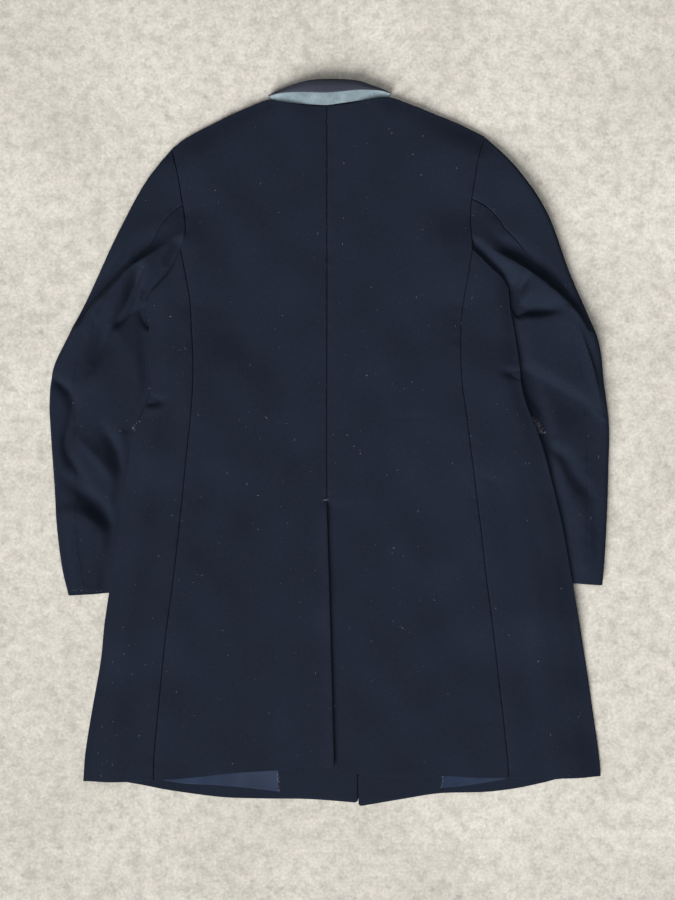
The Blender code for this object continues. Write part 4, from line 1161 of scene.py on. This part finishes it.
def build_lint(shells, material):
    """Pale fibres that cling to the wool, each a short curved ribbon that follows the cloth under it."""
    random = np.random.default_rng(5)
    trees = surface_trees(shells)
    vertices, faces = [], []
    while len(faces) < LINT_COUNT * (LINT_POINTS - 1):
        x, y = (random.uniform(-spread, spread) for spread in LINT_SPREAD)
        length = random.uniform(*LINT_LENGTH) * MM * random.uniform(LINT_SHORTEST, 1.0) ** 2
        heading, turn = random.uniform(0, 2 * math.pi), random.uniform(-LINT_TURN, LINT_TURN)
        line = []
        for index in range(LINT_POINTS):
            line.append((x, y, top_height(trees, x, y)))
            angle = heading + turn * index / LINT_POINTS
            x += math.cos(angle) * length / (LINT_POINTS - 1)
            y += math.sin(angle) * length / (LINT_POINTS - 1)
        levels = [point[2] for point in line]
        if min(levels) > 0 and max(levels) - min(levels) <= LINT_STEP:
            add_ribbon(vertices, faces, np.array(line), LINT_WIDTH * MM * random.uniform(*RIBBON_WIDTHS))
    join_mesh("lint", vertices, faces, material)


# Rows of pale stitches and frayed ends: the line, their count, the length of each and how far they stray
Stitches = namedtuple("Stitches", "start end count length stray")
STITCHES = [
    Stitches((-7.5, -76.0), (-2.5, -76.0), 9, 1.6, 0.5),
    Stitches((-70.0, -449.0), (-69.6, -474.0), 34, 1.3, 0.7),
    Stitches((153.6, -453.0), (153.2, -469.0), 20, 1.2, 0.6),
    Stitches((-350.0, -197.5), (-310.0, -200.5), 16, 0.9, 0.8),
    Stitches((278.0, 34.0), (294.0, 14.5), 30, 1.8, 1.2),
    Stitches((272.0, 36.0), (291.0, 16.0), 12, 1.6, 1.6),
    Stitches((-266.0, 22.0), (-258.0, 30.0), 22, 1.8, 1.2),
    Stitches((-262.0, 19.0), (-267.0, 22.0), 12, 1.5, 0.8),
]
STITCH_WIDTH = 0.42
STITCH_SIZES = (0.5, 1.3)  # shares of the length


def build_stitches(shells, material):
    """Short pale ends of thread along the facings' edges, the vent's tack, the cuff and the flaps' corners."""
    random = np.random.default_rng(8)
    trees = surface_trees(shells)
    vertices, faces = [], []
    for row in STITCHES:
        start, end = np.array(row.start), np.array(row.end)
        for share in np.linspace(0, 1, row.count):
            centre = start + (end - start) * share + random.normal(0, row.stray, 2)
            heading = random.uniform(0, math.pi)
            direction = np.array([math.cos(heading), math.sin(heading)])
            half = direction * row.length / 2 * random.uniform(*STITCH_SIZES)
            places = [(centre + half * step) * MM for step in (-1, 0, 1)]
            line = [(*place, top_height(trees, *place)) for place in places]
            if min(point[2] for point in line) > 0:
                add_ribbon(vertices, faces, np.array(line), STITCH_WIDTH * MM * random.uniform(*RIBBON_WIDTHS))
    join_mesh("stitches", vertices, faces, material)


def surface_trees(shells):
    """The shells' faces, ready to be met by rays."""
    meshes = [shell.data for shell in shells]
    return [BVHTree.FromPolygons([v.co for v in m.vertices], [p.vertices for p in m.polygons]) for m in meshes]


def top_height(trees, x, y):
    """The height of the uppermost shell at a plan point in metres, NO_CLOTH where there is none."""
    return max(surface_height(tree, x, y) for tree in trees)


def surface_height(tree, x, y):
    hit = tree.ray_cast(Vector((x, y, RAY_HEIGHT)), Vector((0, 0, -1)))[0]
    return NO_CLOTH if hit is None else hit.z


def add_ribbon(vertices, faces, line, width):
    """A flat ribbon just over the cloth, tapered at its ends."""
    start = len(vertices)
    along = np.gradient(line[:, :2], axis=0)
    along /= np.linalg.norm(along, axis=1, keepdims=True) + TINY
    for index, (point, direction) in enumerate(zip(line, along)):
        taper = math.sin(math.pi * (index + RIBBON_TIP) / (len(line) - 1 + 2 * RIBBON_TIP))
        offset = np.array([-direction[1], direction[0], 0]) * width / 2 * taper
        lifted = point + np.array([0, 0, RIBBON_LIFT])
        vertices += [tuple(lifted - offset), tuple(lifted + offset)]
        if index:
            base = start + 2 * index
            faces.append((base - 2, base - 1, base + 1, base))


def join_mesh(name, vertices, faces, material):
    """One piece of all ribbons of a kind."""
    mesh = bpy.data.meshes.new(name)
    mesh.from_pydata(vertices, [], faces)
    mesh.materials.append(material)
    piece = add_object(name, mesh)
    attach(piece, "root")


# Camera: straight above, with the photograph's picture of 675 by 900 at 1.36157 mm a pixel
PIXEL = 1.36157 * MM
PICTURE_HEIGHT = 900
VIEW_HEIGHT = 1.45
VIEW_LEVEL = 0.005  # height over the floor of the cloth that the scale was measured on
VIEW_CENTRE = (0.0109, -0.0085)
SENSOR = 36.0


def add_camera():
    camera_data = bpy.data.cameras.new("camera")
    camera_data.sensor_width = SENSOR
    camera_data.lens = SENSOR * (VIEW_HEIGHT - VIEW_LEVEL) / (PICTURE_HEIGHT * PIXEL)
    camera = add_object("camera", camera_data)
    camera.location = (*VIEW_CENTRE, VIEW_HEIGHT)
    bpy.context.scene.camera = camera


# Light: a broad even light from below and a little left of the picture, and a soft lamp over the middle
WINDOW_TOWARDS = (-0.42, -0.91, 0.65)
WINDOW_SOFTNESS = 36.0  # degrees
WINDOW_STRENGTH = 4.95
WINDOW_COLOUR = (1.0, 0.985, 0.96)
LAMP_PLACE = (0.12, 0.02, 1.5)
LAMP_SIZE = 1.2
LAMP_POWER = 8.8
WORLD_COLOUR = (0.98, 0.98, 1.0)
WORLD_STRENGTH = 0.045


def add_lights():
    window_data = bpy.data.lights.new("window", "SUN")
    window_data.angle = math.radians(WINDOW_SOFTNESS)
    window_data.energy = WINDOW_STRENGTH
    window_data.color = WINDOW_COLOUR
    window = add_object("window", window_data)
    window.rotation_euler = (-Vector(WINDOW_TOWARDS)).to_track_quat("-Z", "Y").to_euler()
    lamp_data = bpy.data.lights.new("lamp", "AREA")
    lamp_data.size = LAMP_SIZE
    lamp_data.energy = LAMP_POWER
    add_object("lamp", lamp_data).location = LAMP_PLACE
    world = bpy.data.worlds.new("studio")
    world.use_nodes = True
    background = world.node_tree.nodes["Background"]
    background.inputs["Color"].default_value = (*WORLD_COLOUR, 1)
    background.inputs["Strength"].default_value = WORLD_STRENGTH
    bpy.context.scene.world = world
    bpy.context.scene.view_settings.view_transform = "Standard"


NAVY = (0.0127, 0.0172, 0.0295)
# Purplish collar cloth with painted light: several times lighter than the navy, for the light on the collar's
# turned-up face
PURPLE_NAVY_PAINTED_LIGHTER = (0.047, 0.052, 0.073)
PALE_FELT = (0.231, 0.295, 0.329)
SATIN_BLUE = (0.018, 0.030, 0.064)
LINT_COLOUR = (0.24, 0.25, 0.27)
FLAP_GREY = (0.034, 0.038, 0.050)


def build_coat():
    plan = Plan()
    melton = wool("navy_melton", NAVY, 0.03)
    # the collar cloth's purplish colour is made lighter by painted light
    collar_cloth = wool("collar_cloth", PURPLE_NAVY_PAINTED_LIGHTER, 0.1)
    flap_back = wool("flap_back", FLAP_GREY, 0.1)
    lining_satin = satin("lining_satin", SATIN_BLUE)
    tops = []  # lint lies on these
    beneath = []  # and stitches on these as well
    for side in SIDES:
        tops.append(build_back(side, plan, melton))
        tops.append(build_side(side, plan, melton))
        build_front(side, plan, melton)
        tops += build_sleeve(side, plan, melton)
        beneath.append(build_trim(f"flap_{side}", FLAP[side], plan, flap_back))
        build_trim(f"lapel_{side}", LAPEL[side], plan, melton)
        build_trim(f"collar_end_{side}", COLLAR_END[side], plan, collar_cloth)
        for node, span, hem, wall, material, slot in (
            (f"facing_{side}", FACING_SPAN[side], FACING_HEM[side], FACING_WALL, melton, "melton"),
            (f"lining_{side}", LINING_SPAN[side], LINING_HEM[side], LINING_WALL, lining_satin, "satin"),
        ):
            beneath.append(build_band(node, span, hem, plan, wall, material))
    build_collar("top_collar", TOP_COLLAR, WALL, collar_cloth)
    build_collar("under_collar", UNDER_COLLAR, FELT_WALL, felt("undercollar_felt", PALE_FELT))
    pale_thread = thread("lint", LINT_COLOUR)
    build_lint(tops, pale_thread)
    build_stitches(tops + beneath, pale_thread)


build_coat()
add_floor()
add_lights()
add_camera()
